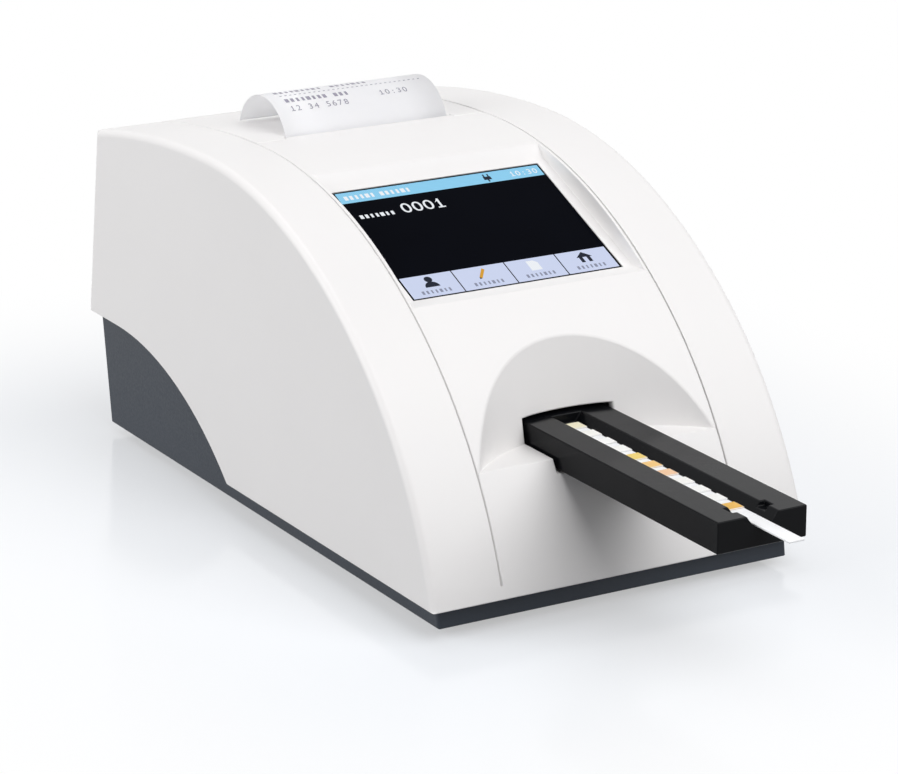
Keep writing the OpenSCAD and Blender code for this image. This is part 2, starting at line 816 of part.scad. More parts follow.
// Gear on an X axis; turn shifts the tooth that points up
module x_gear(teeth, mod, bore, x0, x1, y, z, turn) {
    translate([x0, y, z]) rotate([90, 0, 90]) linear_extrude(x1 - x0) difference() {
        rotate(turn) polygon(gear_outline(teeth, mod));
        circle(d = bore);
    }
}

module platen_gear() {
    half_tooth = 180 / platen_teeth;
    color("#e8e4d8") x_gear(platen_teeth, print_module, shaft_d, gear_x, gear_x + gear_w,
        platen_y, platen_z, half_tooth);
}

// Printed paper: out of the slot, over in a curl and down on the lid
module paper_tail() {
    inner = curl_r - paper_t / 2;
    color("white") along_x(paper_w) difference() {
        curl_disc(inner + paper_t);
        curl_disc(inner);
        translate([curl_y - far, platen_z - 1 - far]) square([2 * far, far]);
        translate([curl_y, curl_z]) rotate(curl_end - 90) square([far, far / 2]);
        translate([curl_y, curl_z - far]) square([far, far]);
    }
}

// Toothed steel strip on the front edge of the paper slot
module tear_bar() {
    tooth = 2.5;
    bar_t = 0.5;
    bar_h = 2.8;
    low = curl_z + 2.4;
    high = low + bar_h;
    count = floor(paper_w / tooth);
    color("silver") intersection() {
        along_x(paper_w) difference() {
            curl_disc(slot_notch_r);
            curl_disc(slot_notch_r - bar_t);
            translate([curl_y, -far]) square([far, 2 * far]);
        }
        along_y(0, curl_y) polygon(concat([[paper_w / 2, low], [-paper_w / 2, low]],
            [for (i = [0 : count - 1]) each [[(i - count / 2) * tooth, high - tooth / 3],
                [(i - count / 2 + 0.5) * tooth, high]]], [[count / 2 * tooth, high - tooth / 3]]));
    }
}

module printer_frame() {
    outer = frame_half + frame_t;
    plate_z = drive_z - print_motor_d / 2 - 1;
    plate_front = platen_y - print_motor_d / 2 - 1;
    plate_rear = platen_y + print_motor_d / 2 + 1;
    saddle = spindle_d / 4 + 0.2;
    color("#4a4d52") difference() {
        union() {
            block([-outer, frame_front_y, frame_floor_z], [outer, frame_rear_y, frame_floor_z + frame_t]);
            block([-outer, frame_front_y, frame_floor_z], [outer, frame_front_y + frame_t, platen_z]);
            block([-outer, frame_rear_y - frame_t, frame_floor_z], [outer, frame_rear_y, frame_top_z]);
            mirrored() {
                block([frame_half, frame_front_y, frame_floor_z], [outer, frame_rear_y, frame_top_z]);
                for (y = bucket_boss_y) bucket_ear(y);
            }
            block([frame_half, plate_front, plate_z - frame_t],
                [motor_plate_x + frame_t, plate_rear, plate_z]);
            block([motor_plate_x, plate_front, plate_z - frame_t],
                [motor_plate_x + frame_t, plate_rear, bucket_ear_z]);
        }
        both_sides(frame_half + frame_t / 2) {
            x_rod(2 * saddle, -frame_t, frame_t, roll_y, roll_z);
            block([-frame_t, roll_y - saddle, roll_z], [frame_t, roll_y + saddle, crown_h]);
        }
        x_rod(shaft_d + 1, motor_plate_x - 1, motor_plate_x + frame_t + 1, platen_y, drive_z);
        fixing_points(bucket_boss_y[0], bucket_boss_y[1], bucket_boss_x)
            translate([0, 0, frame_floor_z]) cylinder(d = small_screw_d + screw_gap, h = crown_h);
    }
}

// Ear of the printer frame that is screwed up against the cover's boss
module bucket_ear(y) {
    reach = boss_d / 2;
    block([frame_half, y - reach, bucket_ear_z - bucket_ear_t],
        [bucket_boss_x + reach, y + reach, bucket_ear_z]);
    block([frame_half, y - reach, frame_floor_z], [frame_half + frame_t, y + reach, bucket_ear_z]);
}

module printer_screws() {
    color("silver") fixing_points(bucket_boss_y[0], bucket_boss_y[1], bucket_boss_x)
        translate([0, 0, bucket_ear_z - bucket_ear_t])
            screw(small_screw_d, screw_bite, small_head_d, small_head_h);
}

module head_heatsink() {
    front = frame_front_y + frame_t;
    color("silver") block([-paper_w / 2, front, platen_z - sink_low],
        [paper_w / 2, front + sink_t, platen_z + sink_high]);
}

module print_head() {
    front = frame_front_y + frame_t + sink_t;
    color("#d8cfb8") block([-paper_w / 2, front, platen_z - strip_low],
        [paper_w / 2, front + head_t, platen_z + strip_high]);
}

// Round motor on an X axis with its face at x0, a rear boss and a bore for its shaft
module can_motor(d, length, x0, y, z) {
    rear = x0 + length;
    difference() {
        union() {
            x_rod(d, x0, rear, y, z);
            x_rod(d / 2, rear - eps, rear + 1.5, y, z);
        }
        x_rod(shaft_d + 2 * run_gap, x0 - 1, rear - 2, y, z);
    }
}

module printer_motor() {
    color("silver") can_motor(print_motor_d, print_motor_l, motor_plate_x + frame_t, platen_y, drive_z);
}

module printer_drive_gear() {
    color("#e8e4d8") {
        x_gear(drive_teeth, print_module, shaft_d - 1, gear_x, gear_x + gear_w, platen_y, drive_z, 0);
        x_rod(shaft_d, gear_x, motor_plate_x + frame_t + print_motor_l - 3, platen_y, drive_z);
    }
}

module paper_roll() {
    color("white") difference() {
        x_rod(roll_d, -paper_w / 2, paper_w / 2, roll_y, roll_z, $fn = 96);
        x_rod(core_d, -paper_w, paper_w, roll_y, roll_z);
    }
}

module roll_core() {
    color("tan") difference() {
        x_rod(core_d, -paper_w / 2, paper_w / 2, roll_y, roll_z);
        x_rod(spindle_d + 2 * run_gap, -paper_w, paper_w, roll_y, roll_z);
    }
}

module roll_spindle() {
    color("#4a4d52") {
        x_rod(spindle_d, -paper_w / 2 - 1, paper_w / 2 + 1, roll_y, roll_z);
        x_rod(spindle_d / 2, -frame_half - frame_t, frame_half + frame_t, roll_y, roll_z);
    }
}

module touch_glass() {
    color("#0a0c12") on_facet() translate([-screen_w / 2, -screen_l / 2, -wall])
        cube([screen_w, screen_l, glass_t]);
}

module display_module() {
    half = [screen_w / 2, screen_l / 2] + lcd_margin;
    color("#30343a") on_facet() translate([-half[0], -half[1], lcd_back])
        cube([2 * half[0], 2 * half[1], lcd_t]);
}

module display_bracket() {
    reach = display_boss_v + display_boss_d / 2;
    half = display_boss_u + display_boss_d / 2;
    color("silver") difference() {
        on_facet() translate([-half, -reach, bracket_back]) cube([2 * half, 2 * reach, bracket_t]);
        display_bosses(small_screw_d + screw_gap, bracket_back - 1, 0);
        on_facet() translate([-half / 2, -reach / 2, -far / 2]) cube([half, reach, far]);
    }
}

module display_screws() {
    color("silver") on_facet() both_sides(display_boss_u) for (v = [-1, 1])
        translate([0, v * display_boss_v, bracket_back])
            screw(small_screw_d, bracket_t + display_bite, small_head_d, small_head_h);
}

module main_board() {
    color("#1f5b3a") difference() {
        block([-board_w / 2, board_rear_y - board_l, board_z], [board_w / 2, board_rear_y, board_top_z]);
        fixing_points(standoff_y[0], standoff_y[1], standoff_x) translate([0, 0, board_z - 1])
            cylinder(d = small_screw_d + screw_gap, h = board_t + 2);
    }
}

// Components on the main board: [x, distance from the rear edge, width, length, height]
module board_parts() {
    color("#1a1a1c") {
        for (part = [[0, 60, 20, 20, 1.6], [-24, 50, 12, 8, 1.4], [22, 52, 14, 10, 1.4],
            [-20, 80, 8, 10, 3], [12, 84, 10, 10, 4], [-32, 30, 6, 6, 5]])
            translate([part[0] - part[2] / 2, board_rear_y - part[1] - part[3] / 2, board_top_z])
                cube([part[2], part[3], part[4]]);
        for (x = [-2, 8]) translate([x, board_rear_y - capacitor_in, board_top_z])
            cylinder(d = capacitor_d, h = capacitor_h);
    }
    color("ivory") for (socket = ribbon_sockets)
        translate([socket[0] - ribbon_w / 2 - 1, socket[1] - 2, board_top_z])
            cube([ribbon_w + 2, 4, ribbon_seat]);
}

module board_screws() {
    color("silver") fixing_points(standoff_y[0], standoff_y[1], standoff_x)
        translate([0, 0, board_top_z]) rotate([180, 0, 0])
            screw(small_screw_d, board_t + board_bite, small_head_d, small_head_h);
}

module power_jack() {
    axis_z = board_top_z + 6.5;
    bore_d = 6.4;
    bore_l = 9;
    pin_d = 2;
    pin_in = 2;
    color("#1a1a1c") {
        difference() {
            block([jack_x - jack_size[0] / 2, port_y - jack_size[1], board_top_z],
                [jack_x + jack_size[0] / 2, port_y, board_top_z + jack_size[2]]);
            translate([jack_x, port_y + 1, axis_z]) rotate([90, 0, 0]) cylinder(d = bore_d, h = bore_l + 1);
        }
        translate([jack_x, port_y - pin_in, axis_z]) rotate([90, 0, 0])
            cylinder(d = pin_d, h = bore_l - pin_in + 1);
    }
}

module usb_port() {
    half = usb_size[0] / 2;
    lip = 1.6;
    depth = 9;
    tongue_z = board_top_z + 4;
    tongue_t = 3;
    color("silver") {
        difference() {
            block([usb_x - half, port_y - usb_size[1], board_top_z],
                [usb_x + half, port_y, board_top_z + usb_size[2]]);
            block([usb_x - half + lip, port_y - depth, board_top_z + lip],
                [usb_x + half - lip, port_y + 1, board_top_z + usb_size[2] - lip]);
        }
        block([usb_x - half / 2, port_y - depth - 1, tongue_z],
            [usb_x + half / 2, port_y - 1, tongue_z + tongue_t]);
    }
}

// Nine-way serial socket: D-shaped shell on a body that stands on the board
module serial_port() {
    half = shell_size[0] / 2;
    foot = half - 0.8;
    foot_z = 0.6;
    body_y = port_y - shell_size[1] + 1;
    pin_pitch = 2.75;
    pin_d = 1.2;
    pin_l = 5;
    color("silver") difference() {
        union() {
            block([serial_x - serial_size[0] / 2, body_y - serial_size[1], board_top_z],
                [serial_x + serial_size[0] / 2, body_y, board_top_z + serial_size[2]]);
            translate([serial_x, 0, board_top_z]) along_y(port_y - shell_size[1], port_y)
                polygon([[-foot, foot_z], [foot, foot_z], [half, shell_size[2]], [-half, shell_size[2]]]);
        }
        for (row = [[5, 5.9], [4, 3.1]]) for (pin = [0 : row[0] - 1])
            translate([serial_x + (pin - (row[0] - 1) / 2) * pin_pitch, port_y + 1, board_top_z + row[1]])
                rotate([90, 0, 0]) cylinder(d = pin_d, h = pin_l + 1);
    }
}

module switch_body() {
    half_w = switch_size[0] / 2;
    half_h = switch_size[2] / 2;
    flange = 1.2;
    flange_t = 1.8;
    depth = 5.4;
    side_wall = 0.8;
    end_wall = 0.6;
    color("#1a1a1c") on_rear(switch_x, switch_z) difference() {
        union() {
            block([-half_w, -switch_size[1], -half_h], [half_w, 0.2, half_h]);
            block([-half_w - flange, 0.1, -half_h - flange], [half_w + flange, flange_t, half_h + flange]);
        }
        block([-half_w + side_wall, -depth, -half_h + end_wall],
            [half_w - side_wall, flange_t + 1, half_h - end_wall]);
        x_rod(rocker_pin_d + 2 * run_gap, -half_w + 0.2, half_w - 0.2, rocker_pivot_y, 0);
    }
}

module power_rocker() {
    half = switch_size[0] / 2;
    side_gap = 1.1;
    color("#2a2c30") on_rear(switch_x, switch_z) translate([0, rocker_pivot_y, 0])
        rotate([-rocker_tilt, 0, 0]) {
        along_x(2 * (half - side_gap)) polygon([[-2, -6], [2.8, -8.2], [3.4, 0], [2.8, 8.2], [-2, 6]]);
        x_rod(rocker_pin_d, -half + 0.4, half - 0.4, 0, 0);
    }
}

module tray_chassis() {
    plate_low = chassis_top_z - chassis_t;
    leg = boss_d / 2;
    guide_out = guide_half + guide_t;
    window_x = rack_w / 2 + 1.5;
    window_y = pinion_r + 2.5;
    motor_wall_half = 10;
    motor_wall_low = 9;
    color("#8d9297") difference() {
        union() {
            block([-chassis_w / 2, chassis_front_y, plate_low],
                [chassis_w / 2, chassis_rear_y, chassis_top_z]);
            for (y = [leg_front_y, leg_rear_y])
                block([-leg_x - leg, y - leg, plate_low], [leg_x + leg, y + leg, chassis_top_z]);
            fixing_points(leg_front_y, leg_rear_y, leg_x)
                block([-leg, -leg, leg_seat_z], [leg, leg, chassis_top_z]);
            mirrored() {
                block([guide_half, chassis_front_y, plate_low], [guide_out, chassis_rear_y, guide_top_z]);
                block([guide_half - guide_lip, chassis_front_y, guide_top_z - guide_lip_t],
                    [guide_out, chassis_rear_y, guide_top_z]);
            }
            block([-guide_out, chassis_rear_y - 2, plate_low], [guide_out, chassis_rear_y, tray_top_z - 2]);
            block([guide_out, pinion_y - motor_wall_half, pinion_z - motor_wall_low],
                [motor_face_x, pinion_y + motor_wall_half, chassis_top_z]);
        }
        block([-window_x, pinion_y - window_y, 0], [window_x, pinion_y + window_y, chassis_top_z + 1]);
        x_rod(tray_motor_d + 1, motor_face_x, chassis_w, pinion_y, pinion_z);
        x_rod(shaft_d + 1, 0, motor_face_x + 1, pinion_y, pinion_z);
        fixing_points(leg_front_y, leg_rear_y, leg_x)
            translate([0, 0, leg_seat_z - eps]) cylinder(d = screw_d + screw_gap, h = screw_bite + 2);
    }
}

// Section of the strip channel: its sides slope in to the strip
module channel_section() {
    low = strip_w / 2 + strip_gap;
    half = channel_w / 2;
    polygon([[-low, channel_floor_z], [low, channel_floor_z], [half, tray_top_z], [half, tray_top_z + 1],
        [-half, tray_top_z + 1], [-half, tray_top_z]]);
}

module strip_tray() {
    notch_half = channel_w / 2 + notch_w;
    notch_y = tray_front_y + notch_in;
    groove = rack_w / 2 + rack_fit;
    color("#1a1b1e") difference() {
        block([-tray_w / 2, tray_front_y, tray_bottom_z], [tray_w / 2, tray_rear_y, tray_top_z]);
        along_y(tray_front_y - 1, channel_end_y) channel_section();
        block([-notch_half, notch_y, channel_floor_z + channel_d / 2],
            [notch_half, notch_y + notch_l, tray_top_z + 1]);
        block([-groove, rack_front_y - rack_fit, tray_bottom_z - 1], [groove, tray_rear_y + 1, rack_back_z]);
    }
}

// Toothed bar in a groove under the tray, teeth down
module tray_rack() {
    behind = floor((rack_rear_y - pinion_y) / rack_pitch) - 0.5;
    last = pinion_y + behind * rack_pitch;
    tip = rack_pitch / 4 - backlash / 4 - rack_module * tan(pressure_angle);
    root = rack_pitch / 4 - backlash / 4 + 1.25 * rack_module * tan(pressure_angle);
    color("#e8e4d8") along_x(rack_w) polygon(concat(
        [[rack_front_y, rack_back_z], [rack_front_y, rack_root_z]],
        [for (i = [rack_teeth - 2 : -1 : 0]) let (y = last - i * rack_pitch) each [[y - root, rack_root_z],
            [y - tip, rack_tip_z], [y + tip, rack_tip_z], [y + root, rack_root_z]]],
        [[rack_rear_y, rack_root_z], [rack_rear_y, rack_back_z]]));
}

module test_strip() {
    color("white") block([-strip_w / 2, strip_end_y, channel_floor_z],
        [strip_w / 2, strip_inner_y, channel_floor_z + strip_t]);
}

module reagent_pads() {
    first_y = strip_inner_y - pad_start;
    color("#e8c060") for (i = [0 : pad_count - 1])
        translate([-strip_w / 2, first_y - i * pad_pitch - strip_w / 2, channel_floor_z + strip_t])
            cube([strip_w, strip_w, pad_t]);
}

module tray_motor() {
    color("silver") can_motor(tray_motor_d, tray_motor_l, motor_face_x, pinion_y, pinion_z);
}

module tray_pinion() {
    half = rack_w / 2 - 0.5;
    color("#c9a34a") {
        x_gear(pinion_teeth, rack_module, shaft_d - 1, -half, half, pinion_y, pinion_z, 0);
        x_rod(shaft_d, -half, motor_face_x + tray_motor_l - 3, pinion_y, pinion_z);
    }
}

// Dark box over the tray's way that looks down on the strip
module optical_head() {
    top = guide_top_z + head_h;
    seat_z = guide_top_z + head_wall;
    look_half = window_half - window_ledge;
    look_in = window_in + window_ledge;
    color("#26282c") difference() {
        block([-head_half, head_front_y, guide_top_z], [head_half, head_rear_y, top]);
        block([-head_half + head_wall, head_front_y + head_wall, seat_z + window_t],
            [head_half - head_wall, head_rear_y - head_wall, top + 1]);
        block([-window_half, head_front_y + window_in, seat_z], [window_half, head_rear_y - window_in, top]);
        block([-look_half, head_front_y + look_in, 0], [look_half, head_rear_y - look_in, top]);
    }
}

module sensor_window() {
    half = window_half - window_fit;
    edge = window_in + window_fit;
    seat_z = guide_top_z + head_wall;
    color("#9fc4d8") block([-half, head_front_y + edge, seat_z],
        [half, head_rear_y - edge, seat_z + window_t]);
}

module sensor_board() {
    top = guide_top_z + head_h;
    row_y = (head_front_y + head_rear_y) / 2;
    sensor_d = 3;
    sensor_h = 3;
    color("#1f5b3a") block([-head_half, head_front_y, top], [head_half, head_rear_y, top + board_t]);
    color("gold") for (x = [-2, 0, 2] * sensor_d)
        translate([x, row_y, top - sensor_h + eps]) cylinder(d = sensor_d, h = sensor_h);
}

module tray_sensor() {
    size = [5, 8, 8];
    corner = [guide_half + guide_t + 0.2, chassis_rear_y - size[1] - 4, chassis_top_z];
    color("#1a1a1c") block(corner, corner + size);
}

// Corner of a flat cable's side at point i of its path, on the side given as 1 or -1
function left_of(p, q) = [p[1] - q[1], q[0] - p[0]] / norm(q - p);
function ribbon_corner(path, i, side) =
    let (k = max(i, 1), m = min(i + 1, len(path) - 1),
        a = left_of(path[k - 1], path[k]), b = left_of(path[m - 1], path[m]))
    path[i] + side * ribbon_t / 2 * (a + b) / (1 + a * b);

// Flat cable drawn through points of Y and Z
module ribbon(path) {
    last = len(path) - 1;
    along_x(ribbon_w) polygon(concat([for (i = [0 : last]) ribbon_corner(path, i, 1)],
        [for (i = [last : -1 : 0]) ribbon_corner(path, i, -1)]));
}

module display_ribbon() {
    socket = ribbon_sockets[0];
    start = facet_point(-screen_l / 2 - lcd_margin[1] - ribbon_t, -wall - lcd_t / 2);
    color("ivory") translate([socket[0], 0, 0]) ribbon([start, start + [-1.5, -3],
        [socket[1], board_top_z + ribbon_rise], [socket[1], board_top_z + ribbon_seat]]);
}

module printer_ribbon() {
    socket = ribbon_sockets[1];
    start_y = frame_front_y - 1;
    start_z = platen_z - sink_low - 2;
    bend_z = board_top_z + ribbon_rise + 8;
    color("ivory") translate([socket[0], 0, 0]) ribbon([[start_y, start_z], [start_y, bend_z],
        [socket[1], board_top_z + ribbon_rise], [socket[1], board_top_z + ribbon_seat]]);
}

placed() base_tub();
placed() rubber_feet();
placed() housing_screws();
placed() chassis_screws();
placed() top_cover();
placed() front_panel();
placed() printer_lid();
placed() lid_hinge_pin();
placed() platen_roller();
placed() platen_shaft();
placed() platen_gear();
placed() paper_tail();
placed() tear_bar();
placed() printer_frame();
placed() printer_screws();
placed() print_head();
placed() head_heatsink();
placed() printer_motor();
placed() printer_drive_gear();
placed() paper_roll();
placed() roll_core();
placed() roll_spindle();
placed() touch_glass();
placed() display_module();
placed() display_bracket();
placed() display_screws();
placed() main_board();
placed() board_parts();
placed() board_screws();
placed() power_jack();
placed() usb_port();
placed() serial_port();
placed() switch_body();
placed() power_rocker();
placed() tray_chassis();
placed() strip_tray();
placed() tray_rack();
placed() test_strip();
placed() reagent_pads();
placed() tray_motor();
placed() tray_pinion();
placed() optical_head();
placed() sensor_window();
placed() sensor_board();
placed() tray_sensor();
placed() display_ribbon();
placed() printer_ribbon();
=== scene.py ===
import json
import math

import bmesh
import bpy
from mathutils import Matrix, Vector

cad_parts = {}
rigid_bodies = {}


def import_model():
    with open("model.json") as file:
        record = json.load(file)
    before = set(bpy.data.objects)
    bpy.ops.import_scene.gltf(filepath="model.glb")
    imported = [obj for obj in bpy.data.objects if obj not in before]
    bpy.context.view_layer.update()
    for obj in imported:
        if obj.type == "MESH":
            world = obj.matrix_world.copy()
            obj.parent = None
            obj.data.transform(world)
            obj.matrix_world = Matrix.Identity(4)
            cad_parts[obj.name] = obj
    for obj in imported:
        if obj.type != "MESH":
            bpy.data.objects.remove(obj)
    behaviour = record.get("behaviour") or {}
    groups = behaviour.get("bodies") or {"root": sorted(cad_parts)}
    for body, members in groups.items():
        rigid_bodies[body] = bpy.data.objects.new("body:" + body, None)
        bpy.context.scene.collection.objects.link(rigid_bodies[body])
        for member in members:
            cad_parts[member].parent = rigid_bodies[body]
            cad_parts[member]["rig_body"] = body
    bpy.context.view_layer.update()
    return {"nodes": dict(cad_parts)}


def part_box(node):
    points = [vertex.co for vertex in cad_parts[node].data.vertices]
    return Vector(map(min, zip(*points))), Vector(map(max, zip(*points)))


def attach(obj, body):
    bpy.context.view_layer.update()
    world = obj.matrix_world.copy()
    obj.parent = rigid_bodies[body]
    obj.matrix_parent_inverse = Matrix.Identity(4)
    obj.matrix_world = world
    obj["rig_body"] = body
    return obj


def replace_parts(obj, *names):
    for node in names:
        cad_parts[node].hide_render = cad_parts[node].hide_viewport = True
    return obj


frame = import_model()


# Base. A deep tub of slate-grey ABS, injection moulded, with a fine spark-eroded texture outside.
# The cover drops over its rim, and the screws of the housing come up through wells in its floor.

MM = 0.001


def linear(hex_colour):
    """Linear colour of an sRGB hex value."""
    channels = [int(hex_colour[i:i + 2], 16) / 255 for i in (0, 2, 4)]
    return [c / 12.92 if c <= 0.04045 else ((c + 0.055) / 1.055) ** 2.4 for c in channels] + [1.0]


def add(tree, kind, inputs=(), **settings):
    """A node with its settings; an input is a value, or another node's output to link."""
    node = tree.nodes.new(kind)
    for name, value in settings.items():
        setattr(node, name, value)
    for socket, value in dict(inputs).items():
        if isinstance(value, bpy.types.NodeSocket):
            tree.links.new(value, node.inputs[socket])
        else:
            node.inputs[socket].default_value = value
    return node


def new_material(name, **shader_inputs):
    """A material with one shader: the material, its tree, the shader and the Object coordinates."""
    material = bpy.data.materials.new(name)
    material.use_nodes = True
    tree = material.node_tree
    tree.nodes.clear()
    values = {key.replace("_", " "): value for key, value in shader_inputs.items()}
    shader = add(tree, "ShaderNodeBsdfPrincipled", values)
    add(tree, "ShaderNodeOutputMaterial", {"Surface": shader.outputs["BSDF"]})
    place = add(tree, "ShaderNodeTexCoord").outputs["Object"]
    return material, tree, shader, place


def follow(tree, shader, pattern, colours=None, roughness=None, depth_mm=None):
    """Lets a surface follow a pattern: between two hex colours, between two roughnesses, and in relief."""
    if colours:
        first, second = map(linear, colours)
        mix = add(tree, "ShaderNodeMix", {0: pattern, 6: first, 7: second}, data_type="RGBA")
        tree.links.new(mix.outputs[2], shader.inputs["Base Color"])
    if roughness:
        spread = add(tree, "ShaderNodeMapRange", {0: pattern, 1: 0.3, 2: 0.7, 3: roughness[0], 4: roughness[1]})
        tree.links.new(spread.outputs[0], shader.inputs["Roughness"])
    if depth_mm:
        bump = add(tree, "ShaderNodeBump", {"Height": pattern, "Distance": depth_mm * MM})
        tree.links.new(bump.outputs[0], shader.inputs["Normal"])


def grained(name, colours, patch_mm, roughness, grain_mm, depth_mm, stretch=(1, 1, 1), **shader_inputs):
    """A finish whose colour drifts in soft patches, with a finer grain in its gloss and relief."""
    material, tree, shader, place = new_material(name, **shader_inputs)
    drawn = add(tree, "ShaderNodeMapping", {"Vector": place, "Scale": stretch}).outputs[0]
    patches = add(tree, "ShaderNodeTexNoise", {"Vector": drawn, "Scale": 1 / (patch_mm * MM), "Detail": 3.0})
    grain = add(tree, "ShaderNodeTexNoise", {"Vector": drawn, "Scale": 1 / (grain_mm * MM), "Detail": 3.0})
    follow(tree, shader, patches.outputs[0], colours=colours)
    follow(tree, shader, grain.outputs[0], roughness=roughness, depth_mm=depth_mm)
    return material


def put(name, mesh, body, material=None):
    """A finished piece in the scene, on its body."""
    piece = bpy.data.objects.new(name, mesh)
    bpy.context.collection.objects.link(piece)
    if material:
        mesh.materials.clear()
        mesh.materials.append(material)
    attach(piece, body)
    return piece


def merged(node):
    """A node's loose triangles merged into flat faces."""
    form = bmesh.new()
    form.from_mesh(frame["nodes"][node].data)
    bmesh.ops.remove_doubles(form, verts=form.verts, dist=0.002 * MM)
    bmesh.ops.dissolve_limit(form, angle_limit=math.radians(0.3), verts=form.verts, edges=form.edges)
    return form


SHARP = 28          # angle between two faces, in degrees, from which an edge is rounded
IN_LINE = 0.9       # cosine from which two edges that meet are taken as one run
EDGE_SHARE = 0.45   # most that a rounding may take of the length of an edge across it


def softened(node, rounding, material, segments=3, crease=SHARP, form=None):
    """A copy of a node, or a changed form of it, with its sharp edges rounded, one width for each run of
    edges in line. rounding is the width in mm, or gives it from an edge's middle, in mm, and the normals of
    its two faces; below 0 the run is only shaded smooth, and at 0 it stays crisp. Between crease and SHARP
    an edge shows as a crisp line, and under crease it is smooth."""
    form = form or merged(node)
    weight = form.edges.layers.float.new("bevel_weight_edge")
    for face in form.faces:
        face.smooth = True
    ways = {}
    for edge in form.edges:
        angle = math.degrees(edge.calc_face_angle(0))
        edge.smooth = angle < crease
        if angle > SHARP:
            ways[edge] = (edge.verts[1].co - edge.verts[0].co).normalized()
    free, runs = set(ways), []
    while free:
        run, ahead, width, room = [], [free.pop()], -1.0, 100.0
        while ahead:
            edge = ahead.pop()
            run.append(edge)
            if callable(rounding):
                middle = (edge.verts[0].co + edge.verts[1].co) / 2 / MM
                width = max(width, rounding(middle, *(face.normal for face in edge.link_faces)))
            else:
                width = rounding
            for other in {other for end in edge.verts for other in end.link_edges if other in ways} - {edge}:
                if abs(ways[edge].dot(ways[other])) < IN_LINE:
                    room = min(room, EDGE_SHARE * other.calc_length() / MM)
                elif other in free:
                    free.remove(other)
                    ahead.append(other)
        runs.append((run, min(width, room)))
    largest = max(width for run, width in runs)
    for run, width in runs:
        for edge in run:
            edge[weight] = max(width, 0) / largest
            edge.smooth = width != 0
    mesh = bpy.data.meshes.new(node + "_finished")
    form.to_mesh(mesh)
    form.free()
    piece = put(node + "_finished", mesh, frame["nodes"][node]["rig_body"], material)
    bevel = piece.modifiers.new("rounded edges", "BEVEL")
    bevel.limit_method = "WEIGHT"
    bevel.width = largest * MM
    bevel.segments = segments
    bevel.use_clamp_overlap = False
    bevel.loop_slide = False
    flat = piece.modifiers.new("flat faces", "WEIGHTED_NORMAL")
    flat.keep_sharp = True
    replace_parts(piece, node)
    return piece


# ABS off a spark-eroded mould is dull, dark and even, and shows a soft sheen at a low angle.
slate_abs = grained("slate ABS, spark-eroded mould", ("272d36", "2f3640"), 45, (0.42, 0.54), 0.7, 0.02,
                    IOR=1.53, Specular_IOR_Level=0.3)


def base_rounding(middle, first, second):
    """Wider on the tub's upright corners than on its other edges."""
    upright = abs(first.z) < 0.3 and abs(second.z) < 0.3 and abs(first.dot(second)) < 0.3
    return 1.2 if upright and abs(middle.x) > 50 else 0.5


softened("base_tub", base_rounding, slate_abs, 4)


# Feet and screws. Four rubber feet pressed on the base, and zinc-plated pan-head screws with a cross
# recess: they hold the cover and the tray's chassis from below, the boards, the display and the printer.

# Moulded rubber is dull and dark, with a soft powdery bloom.
soft_rubber = grained("black rubber, moulded", ("1f2022", "2d2e31"), 1.2, (0.70, 0.86), 0.5, 0.03, IOR=1.52)
softened("rubber_feet", 0.35, soft_rubber)


def plated(name, colours, roughness, crystal_mm):
    """Plated steel: a bright grey metal with faint crystal patches of slightly different gloss."""
    material, tree, shader, place = new_material(name, Metallic=1.0)
    crystals = add(tree, "ShaderNodeTexVoronoi", {"Vector": place, "Scale": 1 / (crystal_mm * MM)})
    follow(tree, shader, crystals.outputs["Color"], colours, roughness)
    grain = add(tree, "ShaderNodeTexNoise", {"Vector": place, "Scale": 1 / (0.4 * MM)})
    follow(tree, shader, grain.outputs[0], depth_mm=0.004)
    return material


zinc_steel = plated("zinc-plated steel", ("b9bab8", "cfcfcc"), (0.26, 0.38), 1.5)


def new_tree(name, sockets):
    """A Geometry Nodes tree with named inputs and one geometry output."""
    tree = bpy.data.node_groups.new(name, "GeometryNodeTree")
    for socket, kind in sockets.items():
        tree.interface.new_socket(socket, in_out="INPUT", socket_type="NodeSocket" + kind)
    tree.interface.new_socket("Geometry", in_out="OUTPUT", socket_type="NodeSocketGeometry")
    return tree, add(tree, "NodeGroupInput").outputs


def finish_tree(tree, instances, material):
    """Realizes the instances, sets their material and links the output."""
    real = add(tree, "GeometryNodeRealizeInstances", {0: instances})
    done = add(tree, "GeometryNodeSetMaterial", {0: real.outputs[0], "Material": material})
    add(tree, "NodeGroupOutput", {0: done.outputs[0]})


def grown(name, tree, **values):
    """The plain mesh that a tree makes with these inputs."""
    holder = bpy.data.objects.new(name, bpy.data.meshes.new(name))
    modifier = holder.modifiers.new(name, "NODES")
    modifier.node_group = tree
    for item in tree.interface.items_tree:
        if item.in_out == "INPUT":
            modifier[item.identifier] = values[item.name.replace(" ", "_")]
    bpy.context.collection.objects.link(holder)
    mesh = bpy.data.meshes.new_from_object(holder.evaluated_get(bpy.context.evaluated_depsgraph_get()))
    holder.modifiers.clear()
    bpy.data.objects.remove(holder)
    mesh.name = name
    return mesh


